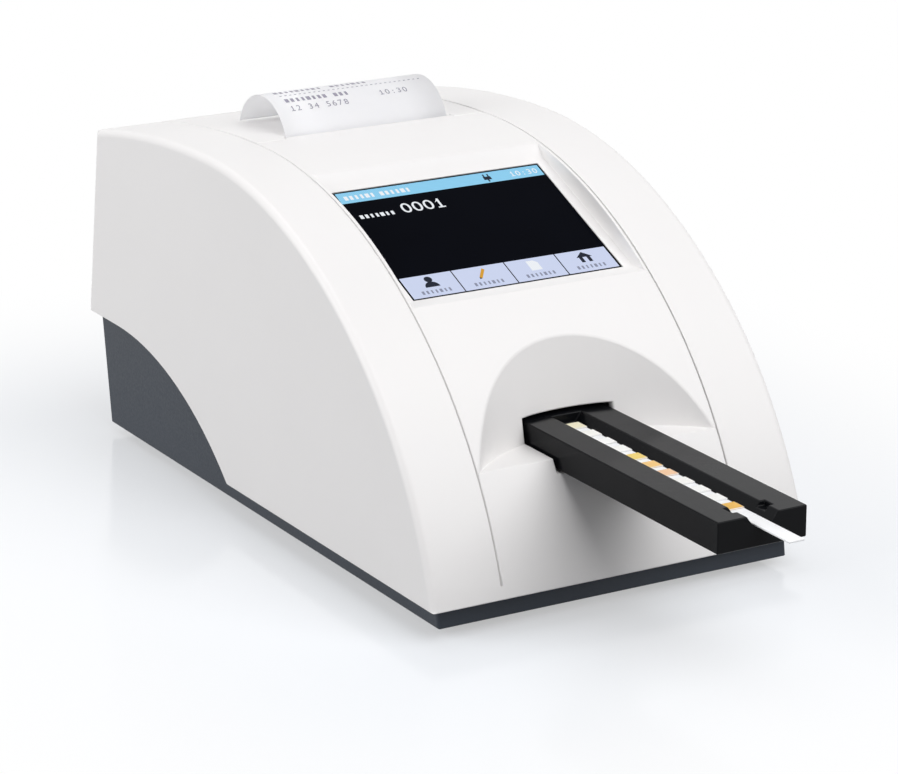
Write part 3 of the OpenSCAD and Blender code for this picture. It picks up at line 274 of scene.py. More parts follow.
# Tree of four screws on the corners of a rectangle, heads down: a pan head with a cross recess, a shank.
screw_tree, size = new_tree("four screws", {
    "Head": "Float", "Head height": "Float", "Shank": "Float", "Length": "Float",
    "Across": "Float", "Along": "Float", "Material": "Material"})
half_head = add(screw_tree, "ShaderNodeMath", {0: size["Head"], 1: 0.5}, operation="MULTIPLY")
brim = add(screw_tree, "ShaderNodeMath", {0: size["Head"], 1: 0.36}, operation="MULTIPLY")
half_shank = add(screw_tree, "ShaderNodeMath", {0: size["Shank"], 1: 0.5}, operation="MULTIPLY")
below = add(screw_tree, "ShaderNodeMath", {0: size["Head height"], 1: -1.0}, operation="MULTIPLY")
down = add(screw_tree, "ShaderNodeCombineXYZ", {"Z": below.outputs[0]})
pan = add(screw_tree, "GeometryNodeMeshCone", {
    "Vertices": 28, "Radius Top": half_head.outputs[0], "Radius Bottom": brim.outputs[0],
    "Depth": size["Head height"]})
pan_low = add(screw_tree, "GeometryNodeTransform", {0: pan.outputs[0], "Translation": down.outputs[0]})
arm_l = add(screw_tree, "ShaderNodeMath", {0: size["Head"], 1: 0.56}, operation="MULTIPLY")
arm_w = add(screw_tree, "ShaderNodeMath", {0: size["Head"], 1: 0.13}, operation="MULTIPLY")
head = add(screw_tree, "GeometryNodeMeshBoolean", {0: pan_low.outputs[0]}, operation="DIFFERENCE")
for x_size, y_size in ((arm_l, arm_w), (arm_w, arm_l)):
    blade_size = add(screw_tree, "ShaderNodeCombineXYZ", {
        "X": x_size.outputs[0], "Y": y_size.outputs[0], "Z": size["Head height"]})
    blade = add(screw_tree, "GeometryNodeMeshCube", {"Size": blade_size.outputs[0]})
    blade_low = add(screw_tree, "GeometryNodeTransform", {0: blade.outputs[0], "Translation": down.outputs[0]})
    screw_tree.links.new(blade_low.outputs[0], head.inputs[1])
shank = add(screw_tree, "GeometryNodeMeshCylinder", {
    "Vertices": 20, "Radius": half_shank.outputs[0], "Depth": size["Length"]})
half_length = add(screw_tree, "ShaderNodeMath", {0: size["Length"], 1: 0.5}, operation="MULTIPLY")
up = add(screw_tree, "ShaderNodeCombineXYZ", {"Z": half_length.outputs[0]})
shank_up = add(screw_tree, "GeometryNodeTransform", {0: shank.outputs[0], "Translation": up.outputs[0]})
one_screw = add(screw_tree, "GeometryNodeJoinGeometry", {0: head.outputs[0]})
screw_tree.links.new(shank_up.outputs[0], one_screw.inputs[0])
corners = add(screw_tree, "GeometryNodeMeshGrid", {
    "Size X": size["Across"], "Size Y": size["Along"], "Vertices X": 2, "Vertices Y": 2})
screw_set = add(screw_tree, "GeometryNodeInstanceOnPoints",
                {"Points": corners.outputs[0], "Instance": one_screw.outputs[0]})
finish_tree(screw_tree, screw_set.outputs[0], size["Material"])


def screws(node, shank_mm, turn=Matrix.Identity(4)):
    """Four screws in place of a node's; turn takes their shanks from up to the way that they point."""
    low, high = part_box(node)
    flat = [turn.inverted().to_3x3() @ vertex.co for vertex in frame["nodes"][node].data.vertices]
    spans = [max(p[i] for p in flat) - min(p[i] for p in flat) for i in range(3)]
    head_d, head_h = 1.9 * shank_mm * MM, 0.6 * shank_mm * MM
    mesh = grown(node + "_cross", screw_tree, Head=head_d, Head_height=head_h, Shank=shank_mm * MM,
                 Length=spans[2] - head_h, Across=spans[0] - head_d, Along=spans[1] - head_d,
                 Material=zinc_steel)
    seat = turn @ Vector((0, 0, head_h - spans[2] / 2))
    mesh.transform(Matrix.Translation((low + high) / 2 + seat) @ turn)
    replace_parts(put(node + "_cross", mesh, frame["nodes"][node]["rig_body"]), node)


facet_tilt = math.radians(23.1)
screws("housing_screws", 3)
screws("chassis_screws", 3)
screws("printer_screws", 2)
screws("board_screws", 2, Matrix.Rotation(math.pi, 4, "X"))
screws("display_screws", 2, Matrix.Rotation(facet_tilt, 4, "X"))


# Main board. Glass-fibre board under green solder mask, with chips, upright capacitors and cable
# sockets soldered on it; it lies on the base's standoffs. Two flat ribbon cables run up from it.

def dress(material, *nodes):
    """Gives solids of the frame their finish."""
    for node in nodes:
        mesh = frame["nodes"][node].data
        mesh.materials.clear()
        mesh.materials.append(material)


# Solder mask over copper is glossy; the tracks under it stand out a shade lighter.
circuit_board, tree, shader, place = new_material("green solder mask on glass fibre", IOR=1.5, Roughness=0.3)
tracks = add(tree, "ShaderNodeTexBrick", {
    "Vector": place, "Scale": 1 / (6 * MM), "Mortar Size": 0.06, "Brick Width": 1.6, "Row Height": 0.28,
    "Color1": (0, 0, 0, 1), "Color2": (0.25, 0.25, 0.25, 1), "Mortar": (1, 1, 1, 1)})
follow(tree, shader, tracks.outputs[0], ("1c5a3c", "3f8a5d"), depth_mm=0.03)
dress(circuit_board, "main_board", "sensor_board")

# Epoxy packages are matt black with a slightly lighter, sandy face.
chip_epoxy = grained("black epoxy, moulded", ("1d1e20", "2a2b2d"), 10, (0.50, 0.66), 0.3, 0.02, IOR=1.55)
softened("board_parts", 0.25, chip_epoxy, 2)

# Ribbon cable: ivory film with fine copper lines showing through across its width, drawn 1 mm apart.
ribbon_film, tree, shader, place = new_material("polyester ribbon film", IOR=1.57, Roughness=0.35)
WAVE = 0.314    # scale at which a wave texture repeats once a metre
lines = add(tree, "ShaderNodeTexWave", {"Vector": place, "Scale": WAVE / (1.0 * MM)}, bands_direction="X")
follow(tree, shader, lines.outputs["Fac"], ("d9cfb6", "ece7da"), depth_mm=0.05)
dress(ribbon_film, "display_ribbon", "printer_ribbon")


# Sockets and switch in the base's rear wall: a socket for the adapter's plug, two data sockets with
# tinned steel shells, and a rocker switch snapped into its frame.

# Glass-filled nylon is dull and black, with a faint grain where fibres come up to the surface.
black_nylon = grained("black glass-filled nylon", ("17181a", "232427"), 45, (0.42, 0.56), 0.5, 0.03, IOR=1.53)
for node in ("power_jack", "switch_body"):
    softened(node, 0.4, black_nylon, 2)

# A polished mould leaves the rocker darker and clearly glossier than its frame.
rocker_black = grained("black polycarbonate, polished mould", ("131416", "1b1c1f"), 45, (0.22, 0.32), 0.9, 0.01,
                       IOR=1.58)
softened("power_rocker", 0.6, rocker_black)

# Tinned sheet is a bright grey metal with broad, faint crystal patches.
tinned_steel = plated("tinned steel sheet", ("b4b6b8", "c8c9ca"), (0.28, 0.42), 4.0)
for node in ("usb_port", "serial_port"):
    softened(node, 0.3, tinned_steel, 2)

# Tree of the serial socket's two hexagonal posts, each with a threaded bore.
post_tree, size = new_tree("hexagonal posts", {
    "Spacing": "Float", "Across corners": "Float", "Bore": "Float", "Length": "Float", "Material": "Material"})
half_corners = add(post_tree, "ShaderNodeMath", {0: size["Across corners"], 1: 0.5}, operation="MULTIPLY")
half_bore = add(post_tree, "ShaderNodeMath", {0: size["Bore"], 1: 0.5}, operation="MULTIPLY")
hexagon = add(post_tree, "GeometryNodeMeshCylinder", {
    "Vertices": 6, "Radius": half_corners.outputs[0], "Depth": size["Length"]})
bore = add(post_tree, "GeometryNodeMeshCylinder", {
    "Vertices": 20, "Radius": half_bore.outputs[0], "Depth": size["Length"]})
bore_place = add(post_tree, "ShaderNodeCombineXYZ", {"Z": size["Bore"]})
bore_out = add(post_tree, "GeometryNodeTransform", {0: bore.outputs[0], "Translation": bore_place.outputs[0]})
bored = add(post_tree, "GeometryNodeMeshBoolean", {0: hexagon.outputs[0], 1: bore_out.outputs[0]},
            operation="DIFFERENCE")
pair_way = add(post_tree, "ShaderNodeCombineXYZ", {"X": size["Spacing"]})
pair = add(post_tree, "GeometryNodeMeshLine", {"Count": 2, "Offset": pair_way.outputs[0]}, mode="OFFSET")
posts = add(post_tree, "GeometryNodeInstanceOnPoints",
            {"Points": pair.outputs[0], "Instance": bored.outputs[0]})
finish_tree(post_tree, posts.outputs[0], size["Material"])
serial_low, serial_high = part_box("serial_port")
post_spacing, post_l = 25.0 * MM, 6.0 * MM
post_mesh = grown("serial_posts", post_tree, Spacing=post_spacing, Across_corners=5.4 * MM, Bore=3.0 * MM,
                  Length=post_l, Material=zinc_steel)
serial_middle = (serial_low + serial_high) / 2
post_mesh.transform(Matrix.Translation((serial_middle.x - post_spacing / 2, serial_high.y + 0.3 * MM,
                                        serial_middle.z))
                    @ Matrix.Rotation(-math.pi / 2, 4, "X"))
put("serial_posts", post_mesh, "housing")


def plates(outlines, height, thick):
    """Thin plates from outlines of points in mm, standing on a height."""
    form = bmesh.new()
    for outline in outlines:
        face = form.faces.new([form.verts.new((x * MM, y * MM, height)) for x, y in outline])
        face.normal_update()
        if face.normal.z < 0:
            face.normal_flip()
        top = bmesh.ops.extrude_face_region(form, geom=[face])
        lift = [item for item in top["geom"] if isinstance(item, bmesh.types.BMVert)]
        bmesh.ops.translate(form, verts=lift, vec=(0, 0, thick))
    bmesh.ops.recalc_face_normals(form, faces=form.faces)
    mesh = bpy.data.meshes.new("plates")
    form.to_mesh(mesh)
    form.free()
    return mesh


def bar(x0, y0, x1, y1):
    return [(x0, y0), (x1, y0), (x1, y1), (x0, y1)]


def arc(x, y, r, start, sweep, count=24):
    """Points on a circle, by angles in degrees."""
    turns = [math.radians(start + sweep * i / count) for i in range(count + 1)]
    return [(x + r * math.cos(a), y + r * math.sin(a)) for a in turns]


def ring(x, y, outer, inner):
    """Two half rings that close a circle."""
    return [arc(x, y, outer, start, 180) + arc(x, y, inner, start + 180, -180) for start in (0, 180)]


def joined(name, meshes):
    """One mesh from several."""
    form = bmesh.new()
    for mesh in meshes:
        form.from_mesh(mesh)
    whole = bpy.data.meshes.new(name)
    form.to_mesh(whole)
    form.free()
    return whole


# The two faces of the rocker carry the usual bar and ring, hot-stamped in white.
stamp_white = grained("white stamping foil", ("e6e6e2", "f0f0ec"), 1.5, (0.45, 0.6), 0.3, 0.01, IOR=1.5)
rocker_form = merged("power_rocker")
rear_faces = [face for face in rocker_form.faces if face.normal.y > 0.7]
rocker_faces = sorted(rear_faces, key=lambda f: -f.calc_area())[:2]
stamps = []
for face, shapes in zip(sorted(rocker_faces, key=lambda f: -f.calc_center_median().z),
                        ([bar(-0.3, -1.6, 0.3, 1.6)], ring(0, 0, 1.7, 1.15))):
    stamp = plates(shapes, 0, 0.05 * MM)
    across = Vector((1, 0, 0))
    turn = Matrix((across, face.normal.cross(across), face.normal)).transposed().to_4x4()
    stamp.transform(Matrix.Translation(face.calc_center_median()) @ turn)
    stamps.append(stamp)
rocker_form.free()
put("rocker_marks", joined("rocker_marks", stamps), "rocker", stamp_white)


# Tray drive and optics. A nylon chassis on four legs carries the tray between its guides; a small motor
# drives the rack under the tray, and a dark optical head with a glass window looks down on the strip.

# Dyed grey, the same nylon keeps its dull look and faint grain.
chassis_nylon = grained("grey glass-filled nylon", ("83888d", "92979c"), 45, (0.45, 0.58), 0.6, 0.03, IOR=1.53)
softened("tray_chassis", 0.4, chassis_nylon, 2)
softened("optical_head", 0.4, black_nylon, 2)
softened("tray_sensor", 0.3, black_nylon, 2)
softened("tray_motor", 0.5, zinc_steel)

# Acetal is waxy and a little warm in its white, with a soft shine on the tooth flanks.
ivory_acetal = grained("ivory acetal, moulded", ("e2dccb", "ece7da"), 45, (0.30, 0.40), 1.0, 0.01, IOR=1.48)
dress(ivory_acetal, "tray_rack", "platen_gear")

# Turned brass keeps a warm shine that changes a little from patch to patch.
brass = grained("turned brass", ("b8954a", "cdae62"), 2, (0.24, 0.34), 0.3, 0.004, Metallic=1.0)
dress(brass, "tray_pinion", "printer_drive_gear")

# Window glass is clear, and only faint smears in its gloss give it away.
window_glass = grained("float glass", ("eef5f2", "f2f8f5"), 30, (0.02, 0.08), 4, 0.001, IOR=1.52,
                       Transmission_Weight=1.0)
dress(window_glass, "sensor_window")


# Tray. Black ABS from a polished mould, so its top mirrors the alcove in soft patches; a channel open to
# the front, with sides that slope in, holds the strip, and a rack is snapped in underneath.

black_abs = grained("black ABS, polished mould", ("0c0d0f", "121316"), 30, (0.10, 0.20), 9, 0.03,
                    IOR=1.54, Specular_IOR_Level=0.07)
softened("strip_tray", 0.4, black_abs)


# Test strip. White polyester film that lies in the channel, with eleven square paper pads glued on it,
# soaked in different reagents, so their tints run from white over cream and yellow to orange.

# Film is smooth and bright, with a faint cloudy gloss.
strip_film = grained("white polyester film", ("f8f9fa", "fdfdfe"), 8, (0.28, 0.40), 3, 0.004, IOR=1.57)
softened("test_strip", 0.12, strip_film, 2)

# Tree of a row of blocks: a count at a pitch, each the same size or, with Spread, cut short at random.
row_tree, size = new_tree("row of blocks", {
    "Count": "Int", "Pitch": "Vector", "Block": "Vector", "Spread": "Float", "Material": "Material"})
points = add(row_tree, "GeometryNodeMeshLine", {"Count": size["Count"], "Offset": size["Pitch"]}, mode="OFFSET")
numbered = add(row_tree, "GeometryNodeStoreNamedAttribute", {
    0: points.outputs[0], "Name": "number", "Value": add(row_tree, "GeometryNodeInputIndex").outputs[0]},
    data_type="FLOAT", domain="POINT")
block = add(row_tree, "GeometryNodeMeshCube", {"Size": size["Block"]})
shortest = add(row_tree, "ShaderNodeMath", {0: 1.0, 1: size["Spread"]}, operation="SUBTRACT")
share = add(row_tree, "FunctionNodeRandomValue", {"Min": shortest.outputs[0], "Max": 1.0, "Seed": 7},
            data_type="FLOAT")
cut = add(row_tree, "ShaderNodeCombineXYZ", {"X": share.outputs["Value"], "Y": 1.0, "Z": 1.0})
row = add(row_tree, "GeometryNodeInstanceOnPoints", {
    "Points": numbered.outputs[0], "Instance": block.outputs[0], "Scale": cut.outputs[0]})
finish_tree(row_tree, row.outputs[0], size["Material"])

# Reagent paper is matt and fibrous; each pad has its own even tint, a little paler where fibres show.
pad_tints = ["e9b548", "f8f8f5", "fafaf7", "f9f8f3", "f3c79c", "f3c677", "efd069",
             "f9f9f5", "fafaf8", "f8f7f2", "f3eccb"]
pad_count = len(pad_tints)
reagent_paper, tree, shader, place = new_material("reagent paper, soaked", IOR=1.45, Roughness=0.85)
number = add(tree, "ShaderNodeAttribute", attribute_name="number")
step = add(tree, "ShaderNodeMapRange", {0: number.outputs["Fac"], 1: -0.5, 2: pad_count - 0.5})
tints = add(tree, "ShaderNodeValToRGB", {0: step.outputs[0]})
tints.color_ramp.interpolation = "CONSTANT"
while len(tints.color_ramp.elements) < pad_count:
    tints.color_ramp.elements.new(1.0)
for i, colour in enumerate(pad_tints):
    tints.color_ramp.elements[i].position = i / pad_count
    tints.color_ramp.elements[i].color = linear(colour)
fibres = add(tree, "ShaderNodeTexNoise", {"Vector": place, "Scale": 1 / (0.25 * MM), "Detail": 5.0})
paler = add(tree, "ShaderNodeMapRange", {0: fibres.outputs[0], 1: 0.2, 2: 0.8, 3: 0.0, 4: 0.12})
damp = add(tree, "ShaderNodeMix", {0: paler.outputs[0], 6: tints.outputs[0], 7: (1, 1, 1, 1)}, data_type="RGBA")
tree.links.new(damp.outputs[2], shader.inputs["Base Color"])
follow(tree, shader, fibres.outputs[0], depth_mm=0.06)

pads_low, pads_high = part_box("reagent_pads")
pad_l = pads_high.x - pads_low.x
pad_t = pads_high.z - pads_low.z
pad_pitch = (pads_high.y - pads_low.y - pad_l) / (pad_count - 1)
pads = grown("reagent_pads_soaked", row_tree, Count=pad_count, Pitch=(0, pad_pitch, 0),
             Block=(pad_l, pad_l, pad_t), Spread=0.0, Material=reagent_paper)
pads.transform(Matrix.Translation(pads_low + Vector((pad_l, pad_l, pad_t)) / 2))
pad_form = bmesh.new()
pad_form.from_mesh(pads)
bmesh.ops.bevel(pad_form, geom=pad_form.edges, offset=0.15 * MM, segments=2, profile=0.5, affect="EDGES")
pad_form.to_mesh(pads)
pad_form.free()
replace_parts(put("reagent_pads_soaked", pads, "tray"), "reagent_pads")


# Printer. A nylon bucket hung from the cover holds the paper roll on its spindle; in front stand the
# heat sink and the ceramic print head, beside them the motor with its gear.

softened("printer_frame", 0.4, black_nylon, 2)
softened("printer_motor", 0.5, zinc_steel)

# Rolled paper shows its winding as fine rings on the ends; they are drawn coarser than real paper.
roll_low, roll_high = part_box("paper_roll")
wound_paper, tree, shader, place = new_material("thermal paper, wound", IOR=1.45, Roughness=0.6)
centred = add(tree, "ShaderNodeMapping", {"Vector": place, "Location": -(roll_low + roll_high) / 2})
rings = add(tree, "ShaderNodeTexWave", {"Vector": centred.outputs[0], "Scale": WAVE / (0.5 * MM),
                                        "Distortion": 0.6}, wave_type="RINGS", rings_direction="X")
follow(tree, shader, rings.outputs["Fac"], ("e6e4e0", "f6f5f4"), depth_mm=0.06)
dress(wound_paper, "paper_roll")

# Grey card, a little fibrous.
core_card = grained("grey core card", ("8f8779", "a89f90"), 0.8, (0.85, 0.95), 0.6, 0.08, IOR=1.45)
dress(core_card, "roll_core")

# Sheet aluminium keeps the long fine lines of rolling along the part.
aluminium = grained("rolled aluminium sheet", ("b5b8bb", "c9cbcd"), 0.5, (0.28, 0.44), 0.5, 0.01,
                    stretch=(0.04, 1, 1), Metallic=1.0)
dress(aluminium, "head_heatsink", "display_bracket")

# Glazed ceramic strip: smooth and cream, with the heating dots showing as a fine chequer, drawn coarse.
ceramic, tree, shader, place = new_material("glazed alumina ceramic", IOR=1.7, Roughness=0.2)
dots = add(tree, "ShaderNodeTexChecker", {"Vector": place, "Scale": 1 / (0.5 * MM),
                                          "Color1": (0, 0, 0, 1), "Color2": (1, 1, 1, 1)})
follow(tree, shader, dots.outputs[0], ("c9bd9f", "ddd3bd"))
dress(ceramic, "print_head")
dress(zinc_steel, "lid_hinge_pin", "platen_shaft", "tear_bar")
dress(black_nylon, "roll_spindle")


# Cover and front panel. White ABS shells off a lightly textured mould; the panel hooks into the bay
# between the cover's rails, so that a narrow seam stays open on both sides.

# Light mould texture gives white ABS an even, silky look without clear mirror images.
white_abs = grained("white ABS, light mould texture", ("efedec", "f3f1f0"), 45, (0.34, 0.46), 0.6, 0.012,
                    IOR=1.53)
panel_low, panel_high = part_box("front_panel")
seam_x, sill_z = panel_high.x / MM, panel_low.z / MM
glass_low, glass_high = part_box("touch_glass")
glass_middle_y, glass_half_l = (glass_low.y + glass_high.y) / 2, (glass_high.y - glass_low.y) / 2 + 0.5 * MM


outer_x = 59.0


def cover_rounding(middle, first, second):
    """Wide along the arched edges and down the front, slight along the seams, none at the sill."""
    outer = abs(middle.x) > outer_x and (abs(first.x) > 0.9) != (abs(second.x) > 0.9)
    if outer and (max(first.z, second.z) > 0.15 or min(first.y, second.y) < -0.5):
        return 2.4
    if abs(middle.z - sill_z) < 0.3 and middle.y < 0:
        return 0
    return 0.25 if abs(abs(middle.x) - seam_x) < 1 else 0.45


alcove_z, crest_z = 43.0, 82.0


def panel_rounding(middle, first, second):
    """Smooth over the crest below the screen, slight round the glass, the alcove's floor and the seams."""
    if abs(middle.z - sill_z) < 0.3 or abs(middle.x) > seam_x + 0.05:
        return 0
    if abs(middle.z - crest_z) < 2 and first.z > 0.7 and second.z > 0.7:
        return -1
    if abs(middle.y * MM - glass_middle_y) < glass_half_l and abs(middle.x * MM) < glass_high.x + 0.5 * MM:
        return 0.15
    if abs(middle.z - alcove_z) < 1.5:
        return 0.15
    return 0.25 if abs(abs(middle.x) - seam_x) < 1 else 0.6


softened("top_cover", cover_rounding, white_abs, 4, crease=9)

# The panel's two sides carry a low tongue that closes the seam a little way under the surface.
tongue_in, tongue_h = 0.6 * MM, 0.26 * MM
panel_form = merged("front_panel")
for side in (-1, 1):
    flank = [face for face in panel_form.faces
             if face.normal.x * side > 0.99 and abs(face.calc_center_median().x) > panel_high.x - 0.05 * MM]
    bmesh.ops.inset_region(panel_form, faces=flank, thickness=tongue_in, depth=tongue_h, use_even_offset=True)
softened("front_panel", panel_rounding, white_abs, 4, crease=9, form=panel_form)


# Display. A glass with a black border lies flush in the facet over the display module, which a sheet
# bracket holds from behind; the picture shows plain blocks, bars, pictograms and a number.

# The module's rim is matt black.
display_black = grained("black display bezel", ("16171a", "202124"), 45, (0.38, 0.5), 0.7, 0.02, IOR=1.53)
dress(display_black, "display_module")

# Coated glass over a black border: nearly black, with only a weak mirror.
screen_glass = grained("coated display glass", ("03040a", "060810"), 20, (0.08, 0.16), 12, 0.001,
                       IOR=1.5, Specular_IOR_Level=0.01)
softened("touch_glass", 0.2, screen_glass, 2)

rise = glass_high - glass_low
glass_t = (rise.z * math.cos(facet_tilt) - rise.y * math.sin(facet_tilt)) / math.cos(2 * facet_tilt)
on_glass = (Matrix.Translation((glass_low + glass_high) / 2) @ Matrix.Rotation(facet_tilt, 4, "X")
            @ Matrix.Translation((0, 0, glass_t / 2)))
LAYER = 0.03 * MM


def lit(name, colours):
    """Lit picture elements: an even glow with the fine stripes of the element columns, drawn 0.6 mm apart."""
    material, tree, shader, place = new_material(name, Specular_IOR_Level=0.02, Roughness=0.12,
                                                 Base_Color=linear("040406"), Emission_Strength=1.0)
    columns = add(tree, "ShaderNodeTexWave", {"Vector": place, "Scale": WAVE / (0.6 * MM)}, bands_direction="X")
    first, second = map(linear, colours)
    glow = add(tree, "ShaderNodeMix", {0: columns.outputs["Fac"], 6: first, 7: second}, data_type="RGBA")
    tree.links.new(glow.outputs[2], shader.inputs["Emission Color"])
    return material


CAP_SHARE = 0.69    # height of a numeral as a share of the font's size


def figures(text, height, x, y, layer, pitch, widen=1.0):
    """Plain numerals as a flat mesh, one to a cell, standing on a line at y from x on, in mm. The font's 1 is
    a bare stroke, so it gets a foot and a flag."""
    meshes = []
    for i, sign in enumerate(text):
        cell = x + (i + 0.5) * pitch
        curve = bpy.data.curves.new("figure", "FONT")
        curve.body = sign
        curve.size = height * MM / CAP_SHARE
        curve.extrude = LAYER / 2
        holder = bpy.data.objects.new("figure", curve)
        bpy.context.collection.objects.link(holder)
        mesh = bpy.data.meshes.new_from_object(holder.evaluated_get(bpy.context.evaluated_depsgraph_get()))
        bpy.data.objects.remove(holder)
        across = [vertex.co.x for vertex in mesh.vertices]
        mesh.transform(Matrix.Translation((cell * MM, y * MM, (layer + 0.5) * LAYER))
                       @ Matrix.Diagonal((widen, 1, 1, 1))
                       @ Matrix.Translation((-(min(across) + max(across)) / 2, 0, 0)))
        meshes.append(mesh)
        if sign == "1":
            foot = bar(cell - 0.28 * height, y, cell + 0.28 * height, y + 0.11 * height)
            flag = [(cell - 0.3 * height, y + 0.62 * height), (cell, y + 0.8 * height), (cell, y + height)]
            meshes.append(plates([foot, flag], layer * LAYER, LAYER))
    return joined("figures", meshes)


def blocks(x, y, count, pitch, height, layer, material, fill=0.75, spread=0.45):
    """A row of small blocks in place of a word, from x on along a line at y, in mm."""
    mesh = grown("blocks", row_tree, Count=count, Pitch=(pitch * MM, 0, 0),
                 Block=(fill * pitch * MM, height * MM, LAYER), Spread=spread, Material=material)
    mesh.transform(Matrix.Translation(((x + pitch / 2) * MM, (y + height / 2) * MM, (layer + 0.5) * LAYER)))
    return mesh


def picture(name, material, *meshes):
    """One piece of the picture from flat meshes on the glass."""
    mesh = joined(name, meshes)
    mesh.transform(on_glass)
    put(name, mesh, "housing", material)


# The picture is laid out in mm from the middle of the glass, x to the right and y up.
screen_half, bar_low, bar_high = 35.4, 21.0, 26.1
button_low, button_high = -26.2, -16.3
button_edges = [(-35.4, -18.25), (-17.85, -0.15), (0.25, 17.45), (17.85, 35.2)]
sky_blue = lit("lit picture, light blue", ("88c8ea", "93d2f1"))
lavender = lit("lit picture, pale lavender", ("c6d0ea", "d0d8f1"))
lit_white = lit("lit picture, white", ("e4e9f0", "f2f5f8"))
lit_grey = lit("lit picture, grey", ("868ba0", "9096aa"))
lit_ink = lit("dark picture elements", ("20242f", "2a2f3c"))
lit_amber = lit("lit picture, amber", ("cf9630", "d9a23a"))
picture("picture_bar", sky_blue, plates([bar(-screen_half, bar_low, screen_half, bar_high)], 0, LAYER))
picture("picture_buttons", lavender,
        plates([bar(x0, button_low, x1, button_high) for x0, x1 in button_edges], 0, LAYER))
picture("picture_number", lit_white, figures("0001", 4.4, -18.5, 12.9, 0, 3.85, 1.15),
        blocks(-33.2, 13.0, 7, 1.75, 1.7, 0, lit_white), blocks(-33.8, 22.4, 6, 1.8, 1.9, 1, lit_white),
        blocks(-21.6, 22.4, 6, 1.8, 1.9, 1, lit_white), figures("10:30", 2.3, 24.2, 22.4, 1, 2.0))
middles = [(x0 + x1) / 2 for x0, x1 in button_edges]
picture("picture_labels", lit_grey,
        *(blocks(middle - 5.2, -24.9, 7, 1.5, 1.5, 1, lit_grey, 0.62) for middle in middles))
person, pen, page, house = middles
icon_low = -22.0
dark_shapes = [
    arc(person, -18.5, 1.3, 0, 345), arc(person, icon_low, 2.4, 0, 180),
    [(pen - 1.9, icon_low), (pen - 1.0, -21.8), (pen - 1.7, -21.1)],
    [(house - 2.7, -19.6), (house + 2.7, -19.6), (house, -17.2)],
    bar(house - 1.9, icon_low, house - 0.7, -19.4), bar(house + 0.7, icon_low, house + 1.9, -19.4),
    bar(14.9, 22.5, 17.5, 24.0), bar(15.2, 24.0, 15.7, 25.2), bar(16.7, 24.0, 17.2, 25.2),
    bar(15.95, 21.5, 16.45, 22.5)]
picture("picture_signs_dark", lit_ink, plates(dark_shapes, LAYER, LAYER))
picture("picture_sign_pen", lit_amber,
        plates([[(pen - 1.0, -21.8), (pen + 1.6, -18.1), (pen + 0.9, -17.4), (pen - 1.7, -21.1)]],
               LAYER, LAYER))
picture("picture_sign_page", lit_white,
        plates([[(page - 1.8, icon_low), (page + 1.8, icon_low), (page + 1.8, -18.6), (page + 0.6, -17.5),
                 (page - 1.8, -17.5)]], LAYER, LAYER))


# Lid and platen. The white lid turns on a steel pin at the rear; its ears carry the rubber platen, which
# presses the paper on the print head when the lid is shut.

softened("printer_lid", 0.4, white_abs, crease=9)

# Ground platen rubber is dark and powdery.
platen_rubber = grained("grey platen rubber, ground", ("2a2a2d", "38383b"), 1.2, (0.70, 0.86), 0.5, 0.03,
                        IOR=1.52)
dress(platen_rubber, "platen_roller")


# Paper. The end of the thermal paper stands out of the slot and curls over backwards on the lid.
# Rows of plain numerals, blocks and dots are printed on its front.

tail_low, tail_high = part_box("paper_tail")
paper_t = 0.1 * MM
curl_r = 17.0 * MM
curl_middle = Vector((0, tail_low.y + curl_r + paper_t, tail_high.z - curl_r - paper_t))
slot_turn = math.asin((tail_low.z - curl_middle.z) / curl_r)
end_turn = math.radians(160)
paper_half = (tail_high.x - tail_low.x) / 2


def on_curl(form, lift):
    """Bends a flat form onto the curl: x stays, y is the way along the paper up from the slot."""
    for vertex in form.verts:
        turn = slot_turn + vertex.co.y / curl_r
        radius = curl_r + lift + vertex.co.z
        vertex.co = curl_middle + Vector((vertex.co.x, -radius * math.cos(turn), radius * math.sin(turn)))


# Thermal paper is smooth and white with a slight sheen from its coating, and so thin that its shaded side
# is lit by what comes through.
thermal_paper = grained("thermal paper, coated", ("f8f8fb", "fcfcfe"), 6, (0.45, 0.6), 0.4, 0.004, IOR=1.45,
                        Subsurface_Weight=0.3, Subsurface_Radius=(1, 1, 1), Subsurface_Scale=1.0 * MM)
tree = thermal_paper.node_tree
coated = next(node for node in tree.nodes if node.type == "BSDF_PRINCIPLED")
through = add(tree, "ShaderNodeBsdfTranslucent", {"Color": linear("ffffff")})
through_share = 0.35
thin = add(tree, "ShaderNodeMixShader", {0: through_share, 1: coated.outputs[0], 2: through.outputs[0]})
surface = next(node for node in tree.nodes if node.type == "OUTPUT_MATERIAL")
tree.links.new(thin.outputs[0], surface.inputs["Surface"])
paper_l = (end_turn - slot_turn) * curl_r
arc_steps, across_steps = 64, 4
sheet_form = bmesh.new()
bmesh.ops.create_grid(sheet_form, x_segments=across_steps, y_segments=arc_steps, size=1.0)
for vertex in sheet_form.verts:
    vertex.co = Vector((vertex.co.x * paper_half, (vertex.co.y + 1) / 2 * paper_l, 0))
for face in sheet_form.faces:
    face.smooth = True
on_curl(sheet_form, 0)
bmesh.ops.recalc_face_normals(sheet_form, faces=sheet_form.faces)
paper_mesh = bpy.data.meshes.new("paper_end")
sheet_form.to_mesh(paper_mesh)
sheet_form.free()
paper = put("paper_end", paper_mesh, "lid", thermal_paper)
thickness = paper.modifiers.new("paper thickness", "SOLIDIFY")
thickness.thickness = paper_t
thickness.offset = 0
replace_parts(paper, "paper_tail")

# Heated dots turn the coating a soft violet grey.
print_grey = grained("thermal print", ("8a8795", "a3a0ae"), 0.3, (0.5, 0.6), 0.4, 0.004, IOR=1.45)
